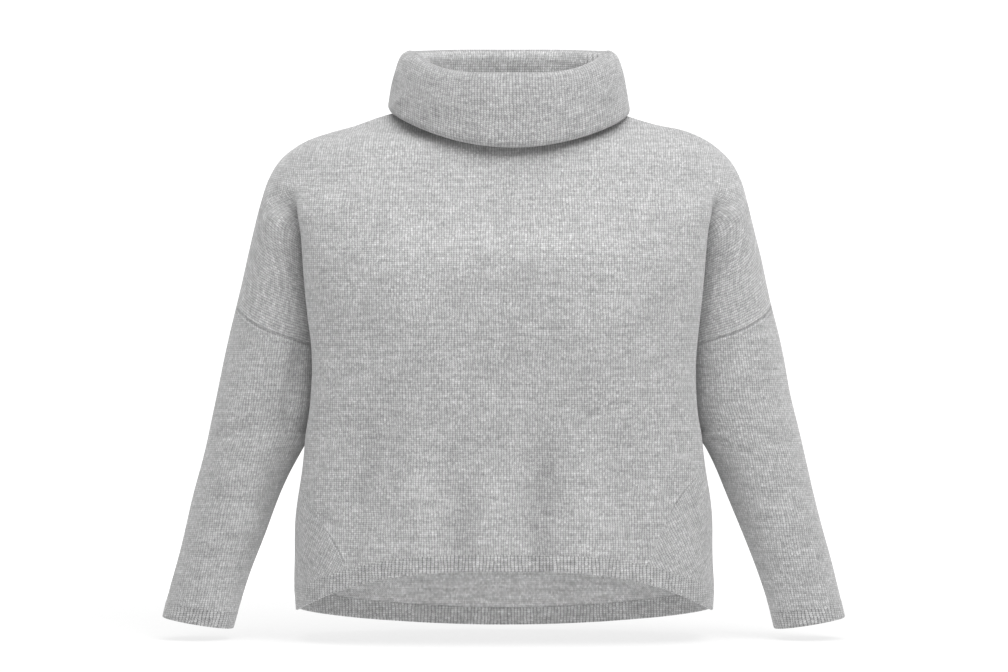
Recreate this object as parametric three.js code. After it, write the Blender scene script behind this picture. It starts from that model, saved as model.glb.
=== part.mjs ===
// A relaxed knitted sweater with dropped shoulders, a curved hem that is longer behind
// and a high roll collar, hollow as it is worn.
// Millimetres. X runs to the wearer's left, the front faces -Y and +Z is up.
// The origin is the middle of the neckline, where the wearer's shoulders hold the garment.

import * as THREE from 'three';

const WALL = 2.2;
const BAND_WALL = 3.0;
const BAND_PROUD = 0.4;
const SEAM_GAP = 0.3;

// Neckline
const NECK_HALF_WIDTH = 98;
const NECK_SIDE_HEIGHT = 14.5;
const FRONT_NECK_DROP = 42.5;
const BACK_NECK_DROP = 20.5;
const NECK_DEPTH = 62;

// Levels
const YOKE_BOTTOM = -66.6;
const FOLD_FULL = -114;
const SEAM_IN_VALLEY = -254;
const UNDERARM = -347;
const SIDE_HEM = -543;
const FRONT_HEM = -493.6;
const BACK_HEM = -570.1;
const FRONT_BAND_HEIGHT = 18;
const BACK_BAND_HEIGHT = 20;
const SIDE_BAND_HEIGHT = 23;
const FRONT_HEM_CURVE = 3;
const BACK_HEM_CURVE = 0.75;
const CUFF_OUTER_END = -550.6;
const CUFF_INNER_END = -563.9;
const CUFF_HEIGHT = 17;

// A level section runs from the centre line to the outer ridge of the shoulder and sleeve.
// These shares of the way mark the body's edge, and the valley between body and sleeve.
const EDGE_SHARE = 0.62;
const VALLEY_SHARE = 0.74;
const VALLEY_RIM_SHARE = 0.015;
const VALLEY_ANGLE = 61;
const VALLEY_HALF_WIDTH = 2;
const VALLEY_BED = 1.5;
const VALLEY_CLOSING = 20;
const SLEEVE_SEAM_HALF_WIDTH = 0.4;
const SHOULDER_ROUNDNESS = 2.3;
const CHEST_ROUNDNESS = 2.5;

// Outer ridge: half-width and depth of the shoulder, upper arm and outer side of the sleeve,
// and how far the shoulders lean to the wearer's left
const RIDGE = [
  { z: 14.5, x: 98, y: 5, lean: 0 },
  { z: 2.2, x: 142.6, y: 5, lean: 2 },
  { z: -2.2, x: 157.6, y: 5, lean: 3 },
  { z: -6.7, x: 173, y: 5, lean: 4 },
  { z: -11.1, x: 191, y: 5, lean: 5 },
  { z: -22.2, x: 220.3, y: 5, lean: 3.5 },
  { z: -33.3, x: 237.5, y: 5, lean: 2.4 },
  { z: -44.4, x: 249.2, y: 5, lean: 1.8 },
  { z: -66.6, x: 262.5, y: 5, lean: 1 },
  { z: -88.8, x: 269.7, y: 5, lean: 0.5 },
  { z: -133, x: 279.7, y: 5, lean: 0 },
  { z: -178, x: 290.3, y: 5, lean: 0 },
  { z: -222, x: 300.8, y: 5, lean: 0 },
  { z: -266, x: 310.8, y: 5, lean: 0 },
  { z: -311, x: 319.7, y: 5, lean: 0 },
  { z: -347, x: 327.9, y: 5, lean: 0 },
  { z: -400, x: 340.8, y: 4, lean: 0 },
  { z: -444, x: 350.8, y: 2, lean: 0 },
  { z: -488, x: 362.4, y: -2, lean: 0 },
  { z: -551, x: 378.5, y: -8, lean: 0 },
];

// Depth of the front and back from the ridge line, at the centre
const CENTRE = [
  { z: 14.5, front: 0, back: 0 },
  { z: 8, front: 12, back: 18 },
  { z: 0, front: 26, back: 41 },
  { z: -11, front: 42, back: 61 },
  { z: -28, front: 70, back: 79 },
  { z: -44, front: 84, back: 91 },
  { z: -66, front: 97, back: 102 },
  { z: -90, front: 109, back: 109 },
  { z: -120, front: 121, back: 114 },
  { z: -160, front: 132, back: 117 },
  { z: -220, front: 131, back: 115 },
  { z: -300, front: 125, back: 109 },
  { z: -400, front: 125, back: 109 },
  { z: -500, front: 131, back: 115 },
  { z: -570, front: 134, back: 121 },
];

// The body's edge, and the valley behind it where the body meets the sleeve
const EDGE = [
  { z: -66, x: 238, front: -64, back: 60, inset: 4, valleyFront: -60, valleyBack: 57 },
  { z: -112, x: 225, front: -66, back: 62, inset: 6, valleyFront: -42, valleyBack: 46 },
  { z: -160, x: 220.5, front: -66, back: 60, inset: 8, valleyFront: -27, valleyBack: 35 },
  { z: -220, x: 214, front: -63, back: 56, inset: 8, valleyFront: -20, valleyBack: 30 },
  { z: -285, x: 210.5, front: -58, back: 51, inset: 6.5, valleyFront: -15, valleyBack: 25 },
  { z: -324, x: 212.4, front: -54, back: 48, inset: 4, valleyFront: -10, valleyBack: 20 },
  { z: -347, x: 216.5, front: -50, back: 46, inset: 2.1, valleyFront: 5, valleyBack: 5 },
  { z: -382, x: 221, front: -45, back: 42, inset: 3, valleyFront: 5, valleyBack: 5 },
  { z: -435, x: 228.3, front: -32, back: 35, inset: 2.5, valleyFront: 5, valleyBack: 5 },
  { z: -480, x: 230.8, front: -18, back: 26, inset: 1.5, valleyFront: 5, valleyBack: 5 },
  { z: -515, x: 232.2, front: -8, back: 17, inset: 0.7, valleyFront: 5, valleyBack: 5 },
  { z: -543, x: 230.2, front: -1, back: 11, inset: 0, valleyFront: 5, valleyBack: 5 },
  { z: -570, x: 229.4, front: -1, back: 11, inset: 0, valleyFront: 5, valleyBack: 5 },
];

// Sleeve: depth before and behind the ridge line, and the inner side below the underarm
const SLEEVE = [
  { z: -66, front: 57, back: 54, inner: 214.4 },
  { z: -200, front: 57, back: 54, inner: 214.4 },
  { z: -347, front: 53, back: 50, inner: 214.4 },
  { z: -364, front: 52.5, back: 49.5, inner: 223.8 },
  { z: -382, front: 51, back: 48, inner: 232.8 },
  { z: -400, front: 49.5, back: 46.5, inner: 241 },
  { z: -444, front: 46, back: 44, inner: 259.7 },
  { z: -488, front: 41, back: 40, inner: 276.4 },
  { z: -533, front: 37, back: 36, inner: 290.8 },
  { z: -564, front: 35, back: 34, inner: 299.7 },
];

// Height of the dropped armhole seam round the upper arm, from the valley to the ridge
const ARMHOLE = [
  { z: -254, turn: 0 },
  { z: -249, turn: 30 },
  { z: -243, turn: 60 },
  { z: -235, turn: 90 },
  { z: -224, turn: 120 },
  { z: -212, turn: 150 },
  { z: -203, turn: 180 },
];

// Front seam of each gusset: share of the way from the centre to the side seam,
// against the share of the way down from the underarm to the hem band. The mesh of
// the lower front and back has its rows at the same levels.
const GUSSET_SEAM = [
  { down: 0, left: 1, right: 1 },
  { down: 0.0625, left: 0.96, right: 1 },
  { down: 0.125, left: 0.89, right: 0.97 },
  { down: 0.1875, left: 0.79, right: 0.92 },
  { down: 0.25, left: 0.67, right: 0.86 },
  { down: 0.3125, left: 0.6, right: 0.785 },
  { down: 0.375, left: 0.545, right: 0.7 },
  { down: 0.5, left: 0.475, right: 0.59 },
  { down: 0.625, left: 0.435, right: 0.52 },
  { down: 0.75, left: 0.4, right: 0.47 },
  { down: 0.875, left: 0.372, right: 0.43 },
  { down: 1, left: 0.345, right: 0.4 },
];

// Soft troughs in the cloth: middle, lean, length, half-width and depth of each. The two
// with a negative depth are the fullness of the chest, which stands out instead.
const FRONT_FOLDS = [
  { x: -106, z: -225, lean: 0, length: 95, width: 56, depth: -6 },
  { x: 100, z: -225, lean: 0, length: 95, width: 56, depth: -6 },
  { x: -150, z: -400, lean: 0.26, length: 110, width: 22, depth: 4.5 },
  { x: -44, z: -440, lean: 0.12, length: 80, width: 17, depth: 3.5 },
  { x: 46, z: -395, lean: -0.24, length: 105, width: 21, depth: 5 },
  { x: 128, z: -430, lean: -0.16, length: 70, width: 19, depth: 3 },
];
const BACK_FOLDS = [
  { x: 118, z: -400, lean: 0.18, length: 120, width: 24, depth: 4.5 },
  { x: 30, z: -450, lean: 0.06, length: 90, width: 19, depth: 4 },
  { x: -62, z: -380, lean: -0.14, length: 125, width: 22, depth: 5 },
  { x: -150, z: -440, lean: -0.2, length: 80, width: 20, depth: 3.5 },
];
const FOLD_FREE_EDGE = 205;
const FOLD_FADE = 40;

// Soft dents across the sleeves: level and turn of the middle, height, spread and depth
const SLEEVE_FOLDS = [
  { side: 1, z: -318, turn: 70, lean: 14, height: 15, spread: 55, depth: 2.6 },
  { side: 1, z: -412, turn: 60, lean: -12, height: 13, spread: 60, depth: 2.8 },
  { side: 1, z: -470, turn: 235, lean: 10, height: 14, spread: 60, depth: 2.6 },
  { side: 1, z: -370, turn: 250, lean: 12, height: 16, spread: 60, depth: 3 },
  { side: -1, z: -338, turn: 80, lean: -12, height: 14, spread: 55, depth: 2.4 },
  { side: -1, z: -428, turn: 65, lean: 12, height: 14, spread: 60, depth: 2.8 },
  { side: -1, z: -392, turn: 240, lean: -12, height: 15, spread: 60, depth: 3 },
  { side: -1, z: -480, turn: 230, lean: 10, height: 13, spread: 55, depth: 2.4 },
];
const SLEEVE_FOLD_START = -262;
const SLEEVE_FOLD_FADE = 40;

// Collar rings from its seam up, over the roll, down to the lower edge and back up inside.
// How far each lies outside the neckline at the sides, in front and behind, its share of
// the drift to the left, and a height from the neckline, the rim or the lower edge.
const COLLAR_DRIFT = 5.4;
const COLLAR = [
  { side: -3.1, front: -3.1, back: -3.1, drift: 0, from: 'neck', height: -4 },
  { side: -2.8, front: -2.6, back: -3, drift: 0.1, from: 'neck', height: 8 },
  { side: -1.5, front: -0.5, back: -3, drift: 0.5, from: 'neck', height: 24 },
  { side: 1.5, front: 2, back: -2.5, drift: 0.8, from: 'rim', height: -20 },
  { side: 3.5, front: 3.5, back: -2.5, drift: 1, from: 'rim', height: -10 },
  { side: 6, front: 6.5, back: -0.5, drift: 1, from: 'rim', height: -4.5 },
  { side: 12, front: 12, back: 4, drift: 1, from: 'rim', height: -1.1 },
  { side: 18.5, front: 17, back: 9, drift: 1, from: 'rim', height: -4 },
  { side: 23, front: 20, back: 12, drift: 1, from: 'rim', height: -10 },
  { side: 28, front: 23.5, back: 16, drift: 1, from: 'rim', height: -25 },
  { side: 31.5, front: 26, back: 19.5, drift: 1, from: 'edge', height: 28 },
  { side: 34, front: 27, back: 22, drift: 1, from: 'edge', height: 13 },
  { side: 35, front: 26.8, back: 22.8, drift: 1, from: 'edge', height: 5 },
  { side: 33.4, front: 24.8, back: 21, drift: 1, from: 'edge', height: 1.2 },
  { side: 30.2, front: 21.8, back: 18.3, drift: 1, from: 'edge', height: 0 },
  { side: 27.8, front: 19, back: 15.5, drift: 1, from: 'edge', height: 2 },
  { side: 26.6, front: 17.6, back: 14.2, drift: 1, from: 'edge', height: 7 },
  { side: 26, front: 17.2, back: 13.8, drift: 1, from: 'edge', height: 14 },
];
const COLLAR_RIM = { front: 47.5, side: 77.5, back: 83 };
const COLLAR_EDGE = { front: -34, side: 9, back: -6 };
const COLLAR_EDGE_TILT = 2;
const COLLAR_RIM_FLATNESS = 4;
const COLLAR_EDGE_CURVE = 1.25;
const COLLAR_STEPS = 44;

// Mesh steps
const CHEST_STEPS = 8;
const FLANK_STEPS = 3;
const ARM_STEPS = 6;
const YOKE_ROWS = 5;
const YOKE_CROWDING = 1.4;
const UPPER_ROWS = 6;
const VALLEY_ROWS = 4;
const GUSSET_STEPS = 3;
const SLEEVE_ROWS = 8;
const BAND_ROWS = 2;

// Least share of a border's inset that a sharp corner keeps along each of its edges
const LEAST_SPREAD = 0.5;

const KNIT_GREY = 0xb4b4b5;
const BAND_GREY = 0xafafb0;

const radians = THREE.MathUtils.degToRad;
const degrees = THREE.MathUtils.radToDeg;
const mix = THREE.MathUtils.lerp;

function ease(share) {
  const s = THREE.MathUtils.clamp(share, 0, 1);
  return s * s * (3 - 2 * s);
}

// Smooth value of a table's column, never past the rows' own values;
// key is the column that the rows are ordered by
function read(table, column, value, key = 'z') {
  const last = table.length - 1;
  const falling = table[last][key] < table[0][key] ? -1 : 1;
  if ((value - table[0][key]) * falling <= 0) return table[0][column];
  if ((value - table[last][key]) * falling >= 0) return table[last][column];
  let i = 0;
  while ((value - table[i + 1][key]) * falling > 0) i += 1;
  const rise = (k) => (table[k + 1][column] - table[k][column]) / (table[k + 1][key] - table[k][key]);
  const slope = (k) => {
    const before = rise(Math.max(k - 1, 0));
    const after = rise(Math.min(k, last - 1));
    if (before * after <= 0) return 0;
    const steepest = 3 * Math.min(Math.abs(before), Math.abs(after));
    return Math.sign(before) * Math.min(Math.abs(before + after) / 2, steepest);
  };
  const span = table[i + 1][key] - table[i][key];
  const s = (value - table[i][key]) / span;
  const start = table[i][column];
  const end = table[i + 1][column];
  const startPull = slope(i) * span;
  const endPull = slope(i + 1) * span;
  return start + s * startPull
    + s * s * (3 * (end - start) - 2 * startPull - endPull)
    + s * s * s * (2 * (start - end) + startPull + endPull);
}

function superSin(angle, roundness) {
  return Math.sin(radians(angle)) ** (2 / roundness);
}

function superCos(angle, roundness) {
  return Math.max(Math.cos(radians(angle)), 0) ** (2 / roundness);
}

// face is -1 in front and 1 behind; the point is given for the wearer's left half

function shoulderAngle(share) {
  if (share <= VALLEY_SHARE) return VALLEY_ANGLE * share / VALLEY_SHARE;
  return mix(VALLEY_ANGLE, 90, (share - VALLEY_SHARE) / (1 - VALLEY_SHARE));
}

function shoulderShare(angle) {
  if (angle <= VALLEY_ANGLE) return VALLEY_SHARE * angle / VALLEY_ANGLE;
  return mix(VALLEY_SHARE, 1, (angle - VALLEY_ANGLE) / (90 - VALLEY_ANGLE));
}

// One smooth round section, as over the shoulders
function shoulderPoint(z, share, face) {
  const angle = shoulderAngle(share);
  const depth = read(CENTRE, face < 0 ? 'front' : 'back', z);
  const x = read(RIDGE, 'x', z) * superSin(angle, SHOULDER_ROUNDNESS);
  const y = read(RIDGE, 'y', z) + face * depth * superCos(angle, SHOULDER_ROUNDNESS);
  return new THREE.Vector3(x, y, z);
}

function valleyMiddle(z, face) {
  const x = read(EDGE, 'x', z) - read(EDGE, 'inset', z);
  const open = ease((z - UNDERARM) / VALLEY_CLOSING);
  const y = read(EDGE, face < 0 ? 'valleyFront' : 'valleyBack', z);
  return { wallX: x, x: x + VALLEY_HALF_WIDTH * open, y };
}

// The body from the centre, round its edge and back into the valley
function bodyPoint(z, share, face) {
  const edgeX = read(EDGE, 'x', z);
  const edgeY = read(EDGE, face < 0 ? 'front' : 'back', z);
  const rimShare = VALLEY_SHARE - VALLEY_RIM_SHARE;
  const valley = valleyMiddle(z, face);
  const rimY = valley.y + face * VALLEY_BED;
  if (share <= EDGE_SHARE) {
    const angle = 90 * share / EDGE_SHARE;
    const depth = read(CENTRE, face < 0 ? 'front' : 'back', z);
    const centreY = read(RIDGE, 'y', YOKE_BOTTOM) + face * depth;
    const y = mix(edgeY, centreY, superCos(angle, CHEST_ROUNDNESS));
    return new THREE.Vector3(edgeX * superSin(angle, CHEST_ROUNDNESS), y, z);
  }
  if (share <= rimShare) {
    const s = (share - EDGE_SHARE) / (rimShare - EDGE_SHARE);
    return new THREE.Vector3(mix(edgeX, valley.wallX, ease(s)), mix(edgeY, rimY, s), z);
  }
  const s = (share - rimShare) / VALLEY_RIM_SHARE;
  const bend = Math.sin(s * Math.PI / 2);
  return new THREE.Vector3(mix(valley.wallX, valley.x, s), mix(rimY, valley.y, bend), z);
}

// The sleeve from the valley, or from its inner side, round to the outer ridge
function armPoint(z, share, face, ridgeZ = z) {
  const ridgeX = read(RIDGE, 'x', ridgeZ);
  const ridgeY = read(RIDGE, 'y', ridgeZ);
  const depth = read(SLEEVE, face < 0 ? 'front' : 'back', z);
  const belowUnderarm = z <= UNDERARM;
  const valley = valleyMiddle(z, face);
  const innerX = belowUnderarm ? read(SLEEVE, 'inner', z) : valley.x;
  const innerY = belowUnderarm ? ridgeY : valley.y;
  const rimX = innerX + (belowUnderarm ? SLEEVE_SEAM_HALF_WIDTH : VALLEY_HALF_WIDTH);
  const rimY = innerY + face * VALLEY_BED;
  const rimShare = VALLEY_SHARE + VALLEY_RIM_SHARE;
  if (share <= rimShare) {
    const s = (share - VALLEY_SHARE) / VALLEY_RIM_SHARE;
    return new THREE.Vector3(mix(innerX, rimX, s), mix(innerY, rimY, Math.sin(s * Math.PI / 2)), z);
  }
  const turn = 180 * (share - rimShare) / (1 - rimShare);
  const middleX = (rimX + ridgeX) / 2;
  const along = -Math.cos(radians(turn));
  const start = turn < 90 ? rimY : ridgeY;
  const x = middleX + along * (ridgeX - rimX) / 2;
  const y = mix(start, ridgeY + face * depth, Math.sin(radians(turn)));
  return new THREE.Vector3(x, y, z);
}

// Depth of the soft troughs at a place on the front or back
function foldDepth(x, z, face) {
  let depth = 0;
  for (const fold of face < 0 ? FRONT_FOLDS : BACK_FOLDS) {
    const across = (x - fold.x - fold.lean * (z - fold.z)) / fold.width;
    const along = (z - fold.z) / fold.length;
    depth += fold.depth * Math.exp(-across * across - along * along * along * along);
  }
  return depth * ease((FOLD_FREE_EDGE - Math.abs(x)) / FOLD_FADE);
}

// A point of the front, back or shoulder; side is 1 on the wearer's left and -1 on the right
function panelPoint(z, share, face, side) {
  const open = ease((YOKE_BOTTOM - z) / (YOKE_BOTTOM - FOLD_FULL));
  const folded = share <= VALLEY_SHARE ? bodyPoint(z, share, face) : armPoint(z, share, face);
  const point = shoulderPoint(z, share, face).lerp(folded, open);
  const out = point.x / read(RIDGE, 'x', z);
  point.x = point.x * side + out * out * read(RIDGE, 'lean', z);
  if (share < EDGE_SHARE) point.y -= face * foldDepth(point.x, z, face);
  return point;
}

// Level of the armhole seam; on the body its rows stay level with the seam in the valley
function armholeHeight(share) {
  const rimShare = VALLEY_SHARE + VALLEY_RIM_SHARE;
  const turn = 180 * Math.max(share - rimShare, 0) / (1 - rimShare);
  return read(ARMHOLE, 'z', turn, 'turn');
}

// Share of the body's half-width that a share of the section reaches
function widthShare(share) {
  return superSin(90 * Math.min(share / EDGE_SHARE, 1), CHEST_ROUNDNESS);
}

function hemEdge(share, face) {
  if (face < 0) return mix(FRONT_HEM, SIDE_HEM, widthShare(share) ** FRONT_HEM_CURVE);
  const round = 1 - Math.cos(radians(90 * THREE.MathUtils.clamp(share / EDGE_SHARE, 0, 1)));
  return mix(BACK_HEM, SIDE_HEM, round ** BACK_HEM_CURVE);
}

function bandTop(share, face) {
  const centreHeight = face < 0 ? FRONT_BAND_HEIGHT : BACK_BAND_HEIGHT;
  return hemEdge(share, face) + mix(centreHeight, SIDE_BAND_HEIGHT, widthShare(share) ** 2);
}

// Shares at which the mesh has its columns
function bodyShares() {
  const shares = [];
  for (let i = 0; i <= CHEST_STEPS; i += 1) shares.push(EDGE_SHARE * i / CHEST_STEPS);
  const rimShare = VALLEY_SHARE - VALLEY_RIM_SHARE;
  for (let i = 1; i <= FLANK_STEPS; i += 1) shares.push(mix(EDGE_SHARE, rimShare, i / FLANK_STEPS));
  shares.push(VALLEY_SHARE);
  return shares;
}

function armShares() {
  const shares = [VALLEY_SHARE];
  const rimShare = VALLEY_SHARE + VALLEY_RIM_SHARE;
  for (let i = 0; i <= ARM_STEPS; i += 1) shares.push(mix(rimShare, 1, i / ARM_STEPS));
  return shares;
}

// Rows of one half run from the centre outwards. Turned the right way, the columns run
// so that the outer side of the cloth faces out.
function turned(rows, face, side) {
  return face * side < 0 ? rows : rows.map((row) => [...row].reverse());
}

// Height of the neckline, and the share of its level section at which it lies
function neckline(out, face) {
  const z = NECK_SIDE_HEIGHT - (face < 0 ? FRONT_NECK_DROP : BACK_NECK_DROP) * Math.sqrt(1 - out * out);
  const reach = Math.min(NECK_HALF_WIDTH * out / read(RIDGE, 'x', z), 1);
  return { z, share: shoulderShare(degrees(Math.asin(reach ** (SHOULDER_ROUNDNESS / 2)))) };
}

function neckPoint(out, face, side) {
  const neck = neckline(Math.min(out, 1), face);
  return panelPoint(neck.z, neck.share, face, side);
}

function yokeRows(shares, face, side) {
  const rows = [];
  for (let k = 0; k <= YOKE_ROWS; k += 1) {
    const down = (k / YOKE_ROWS) ** YOKE_CROWDING;
    rows.push(shares.map((share) => {
      const neck = neckline(Math.sin(radians(90 * share)), face);
      return panelPoint(mix(neck.z, YOKE_BOTTOM, down), mix(neck.share, share, down), face, side);
    }));
  }
  return turned(rows, face, side);
}

// Rows of points between a top and a bottom that may differ from column to column
function levelRows(shares, count, top, bottom, pointAt) {
  const rows = [];
  for (let k = 0; k <= count; k += 1) {
    rows.push(shares.map((share) => pointAt(mix(top(share), bottom(share), k / count), share)));
  }
  return rows;
}

function seamReach(seam, side) {
  return side > 0 ? seam.left : seam.right;
}

// A point between the underarm's level and the hem band
function lowerPoint(down, share, face, side) {
  return panelPoint(mix(UNDERARM, bandTop(share, face), down), share, face, side);
}

function panelGrids(face) {
  const grids = [];
  for (const side of [1, -1]) {
    const body = bodyShares();
    const arm = armShares();
    const point = (z, share) => panelPoint(z, share, face, side);
    const yoke = yokeRows([...body, ...arm.slice(1)], face, side);
    const upper = levelRows([...body, ...arm.slice(1)], UPPER_ROWS, () => YOKE_BOTTOM,
      armholeHeight, point);
    const middle = levelRows(body, VALLEY_ROWS, () => SEAM_IN_VALLEY, () => UNDERARM, point);
    const lower = GUSSET_SEAM.map((seam) => {
      const reach = face < 0 ? seamReach(seam, side) : 1;
      return body.map((share) => lowerPoint(seam.down, share * reach, face, side));
    });
    grids.push(yoke, turned(upper, face, side), turned(middle, face, side), turned(lower, face, side));
  }
  return grids;
}

function gussetGrids(side) {
  const rows = GUSSET_SEAM.map((seam) => (
    gussetColumns(seamReach(seam, side)).map((share) => lowerPoint(seam.down, share, -1, side))
  ));
  return [turned(rows, -1, side)];
}

// Columns from the gusset's front seam to the side seam, with one at the body's edge
function gussetColumns(reach) {
  const shares = [];
  const start = VALLEY_SHARE * reach;
  const edge = Math.max(start, EDGE_SHARE);
  for (let i = 0; i <= GUSSET_STEPS; i += 1) shares.push(mix(start, edge, i / GUSSET_STEPS));
  for (let i = 1; i <= FLANK_STEPS; i += 1) shares.push(mix(edge, VALLEY_SHARE, i / FLANK_STEPS));
  return shares;
}

function hemGrids(face) {
  const grids = [];
  for (const side of [1, -1]) {
    const reach = face < 0 ? seamReach(GUSSET_SEAM.at(-1), side) : 1;
    const shares = bodyShares().map((share) => share * reach);
    if (face < 0) shares.push(...gussetColumns(reach).slice(1));
    const rows = levelRows(shares, BAND_ROWS, (share) => bandTop(share, face),
      (share) => hemEdge(share, face), (z, share) => panelPoint(z, share, face, side));
    grids.push(turned(rows, face, side));
  }
  return grids;
}

// How far a sleeve's surface is pressed in at a level and turn
function sleeveDent(z, turn, side) {
  let depth = 0;
  for (const fold of SLEEVE_FOLDS) {
    if (fold.side !== side) continue;
    const across = (turn - fold.turn) / fold.spread;
    const along = (z - fold.z - fold.lean * across) / fold.height;
    depth += fold.depth * Math.exp(-across * across - along * along);
  }
  return depth * ease((SLEEVE_FOLD_START - z) / SLEEVE_FOLD_FADE);
}

// A point of the closed sleeve below the underarm, on a ring that tilts towards the cuff
function sleevePoint(down, share, face, side) {
  const ridgeZ = mix(UNDERARM, CUFF_OUTER_END, down);
  const innerZ = mix(UNDERARM, CUFF_INNER_END, down);
  const level = armPoint(innerZ, share, face, ridgeZ);
  const innerX = read(SLEEVE, 'inner', innerZ);
  const ridgeX = read(RIDGE, 'x', ridgeZ);
  level.z = mix(innerZ, ridgeZ, (level.x - innerX) / (ridgeX - innerX));
  return dented(level, share, face, side);
}

function dented(point, share, face, side) {
  const turn = face < 0 ? 180 * (share - VALLEY_SHARE) / (1 - VALLEY_SHARE)
    : 360 - 180 * (share - VALLEY_SHARE) / (1 - VALLEY_SHARE);
  point.y -= face * sleeveDent(point.z, turn, side) * Math.sin(radians(turn < 180 ? turn : 360 - turn));
  point.x *= side;
  return point;
}

function sleeveGrids(side) {
  const shares = armShares();
  const cuffStart = 1 - CUFF_HEIGHT / (UNDERARM - CUFF_OUTER_END);
  const grids = [];
  for (const face of [-1, 1]) {
    const slit = levelRows(shares, VALLEY_ROWS, armholeHeight, () => UNDERARM,
      (z, share) => dented(armPoint(z, share, face), share, face, side));
    const closed = levelRows(shares, SLEEVE_ROWS, () => 0, () => cuffStart,
      (down, share) => sleevePoint(down, share, face, side));
    grids.push(turned(slit, face, side), turned(closed, face, side));
  }
  return grids;
}

function cuffGrids(side) {
  const cuffStart = 1 - CUFF_HEIGHT / (UNDERARM - CUFF_OUTER_END);
  return [-1, 1].map((face) => {
    const rows = levelRows(armShares(), BAND_ROWS, () => cuffStart, () => 1,
      (down, share) => sleevePoint(down, share, face, side));
    return turned(rows, face, side);
  });
}

// Collar ring heights; turn runs from the wearer's left over the front, 0 to 360
function collarHeights(turn) {
  const sine = Math.sin(radians(turn));
  const out = Math.abs(Math.cos(radians(turn)));
  const front = sine > 0;
  const neckDrop = front ? FRONT_NECK_DROP : BACK_NECK_DROP;
  const rimCentre = front ? COLLAR_RIM.front : COLLAR_RIM.back;
  const edgeCentre = front ? COLLAR_EDGE.front : COLLAR_EDGE.back;
  return {
    neck: NECK_SIDE_HEIGHT - neckDrop * Math.abs(sine),
    rim: mix(rimCentre, COLLAR_RIM.side, out ** COLLAR_RIM_FLATNESS),
    edge: mix(COLLAR_EDGE.side, edgeCentre, Math.abs(sine) ** COLLAR_EDGE_CURVE)
      - COLLAR_EDGE_TILT * Math.cos(radians(turn)),
  };
}

function collarGrids() {
  const rows = COLLAR.map((ring) => {
    const row = [];
    for (let i = 0; i <= COLLAR_STEPS; i += 1) {
      const turn = 360 * (i % COLLAR_STEPS) / COLLAR_STEPS;
      const cosine = Math.cos(radians(turn));
      const sine = Math.sin(radians(turn));
      const reach = mix(ring.side, sine > 0 ? ring.front : ring.back, sine * sine);
      const outward = new THREE.Vector2(cosine * NECK_DEPTH, -sine * NECK_HALF_WIDTH).normalize();
      const heights = collarHeights(turn);
      const place = neckPoint(Math.abs(cosine), sine > 0 ? -1 : 1, Math.sign(cosine));
      place.x += reach * outward.x + COLLAR_DRIFT * ring.drift;
      place.y += reach * outward.y;
      place.z = heights[ring.from] + ring.height;
      row.push(place);
    }
    return row;
  });
  return [rows];
}

// Cells of a piece as triangles between welded points
class Sheet {
  constructor(grids) {
    this.points = [];
    this.triangles = [];
    this.index = new Map();
    for (const rows of grids) this.addGrid(rows);
  }

  static key(point) {
    return `${point.x.toFixed(2)},${point.y.toFixed(2)},${point.z.toFixed(2)}`;
  }

  vertex(point) {
    const key = Sheet.key(point);
    if (!this.index.has(key)) {
      this.index.set(key, this.points.length);
      this.points.push(point.clone());
    }
    return this.index.get(key);
  }

  addGrid(rows) {
    for (let r = 0; r + 1 < rows.length; r += 1) {
      for (let c = 0; c + 1 < rows[r].length; c += 1) {
        const corners = [rows[r][c], rows[r + 1][c], rows[r + 1][c + 1], rows[r][c + 1]];
        const [a, b, d, e] = corners.map((corner) => this.vertex(corner));
        const short = corners[0].distanceTo(corners[2]) <= corners[1].distanceTo(corners[3]);
        const pair = short ? [[a, b, d], [a, d, e]] : [[a, b, e], [b, d, e]];
        for (const triangle of pair) {
          if (new Set(triangle).size === 3) this.triangles.push(triangle);
        }
      }
    }
  }
}

// Normals summed over every sheet, so that neighbours share them along their seams
function sharedNormals(sheets) {
  const sums = new Map();
  for (const sheet of sheets) {
    for (const triangle of sheet.triangles) {
      const corners = triangle.map((i) => sheet.points[i]);
      const normal = new THREE.Triangle(...corners).getNormal(new THREE.Vector3());
      corners.forEach((corner, i) => {
        const toNext = corners[(i + 1) % 3].clone().sub(corner);
        const toLast = corners[(i + 2) % 3].clone().sub(corner);
        const key = Sheet.key(corner);
        if (!sums.has(key)) sums.set(key, new THREE.Vector3());
        sums.get(key).addScaledVector(normal, toNext.angleTo(toLast));
      });
    }
  }
  for (const sum of sums.values()) sum.normalize();
  return sums;
}

function boundaryEdges(sheet) {
  const edges = new Map();
  for (const [a, b, c] of sheet.triangles) {
    for (const [from, to] of [[a, b], [b, c], [c, a]]) {
      if (edges.has(`${to},${from}`)) edges.delete(`${to},${from}`);
      else edges.set(`${from},${to}`, [from, to]);
    }
  }
  return [...edges.values()];
}

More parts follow.
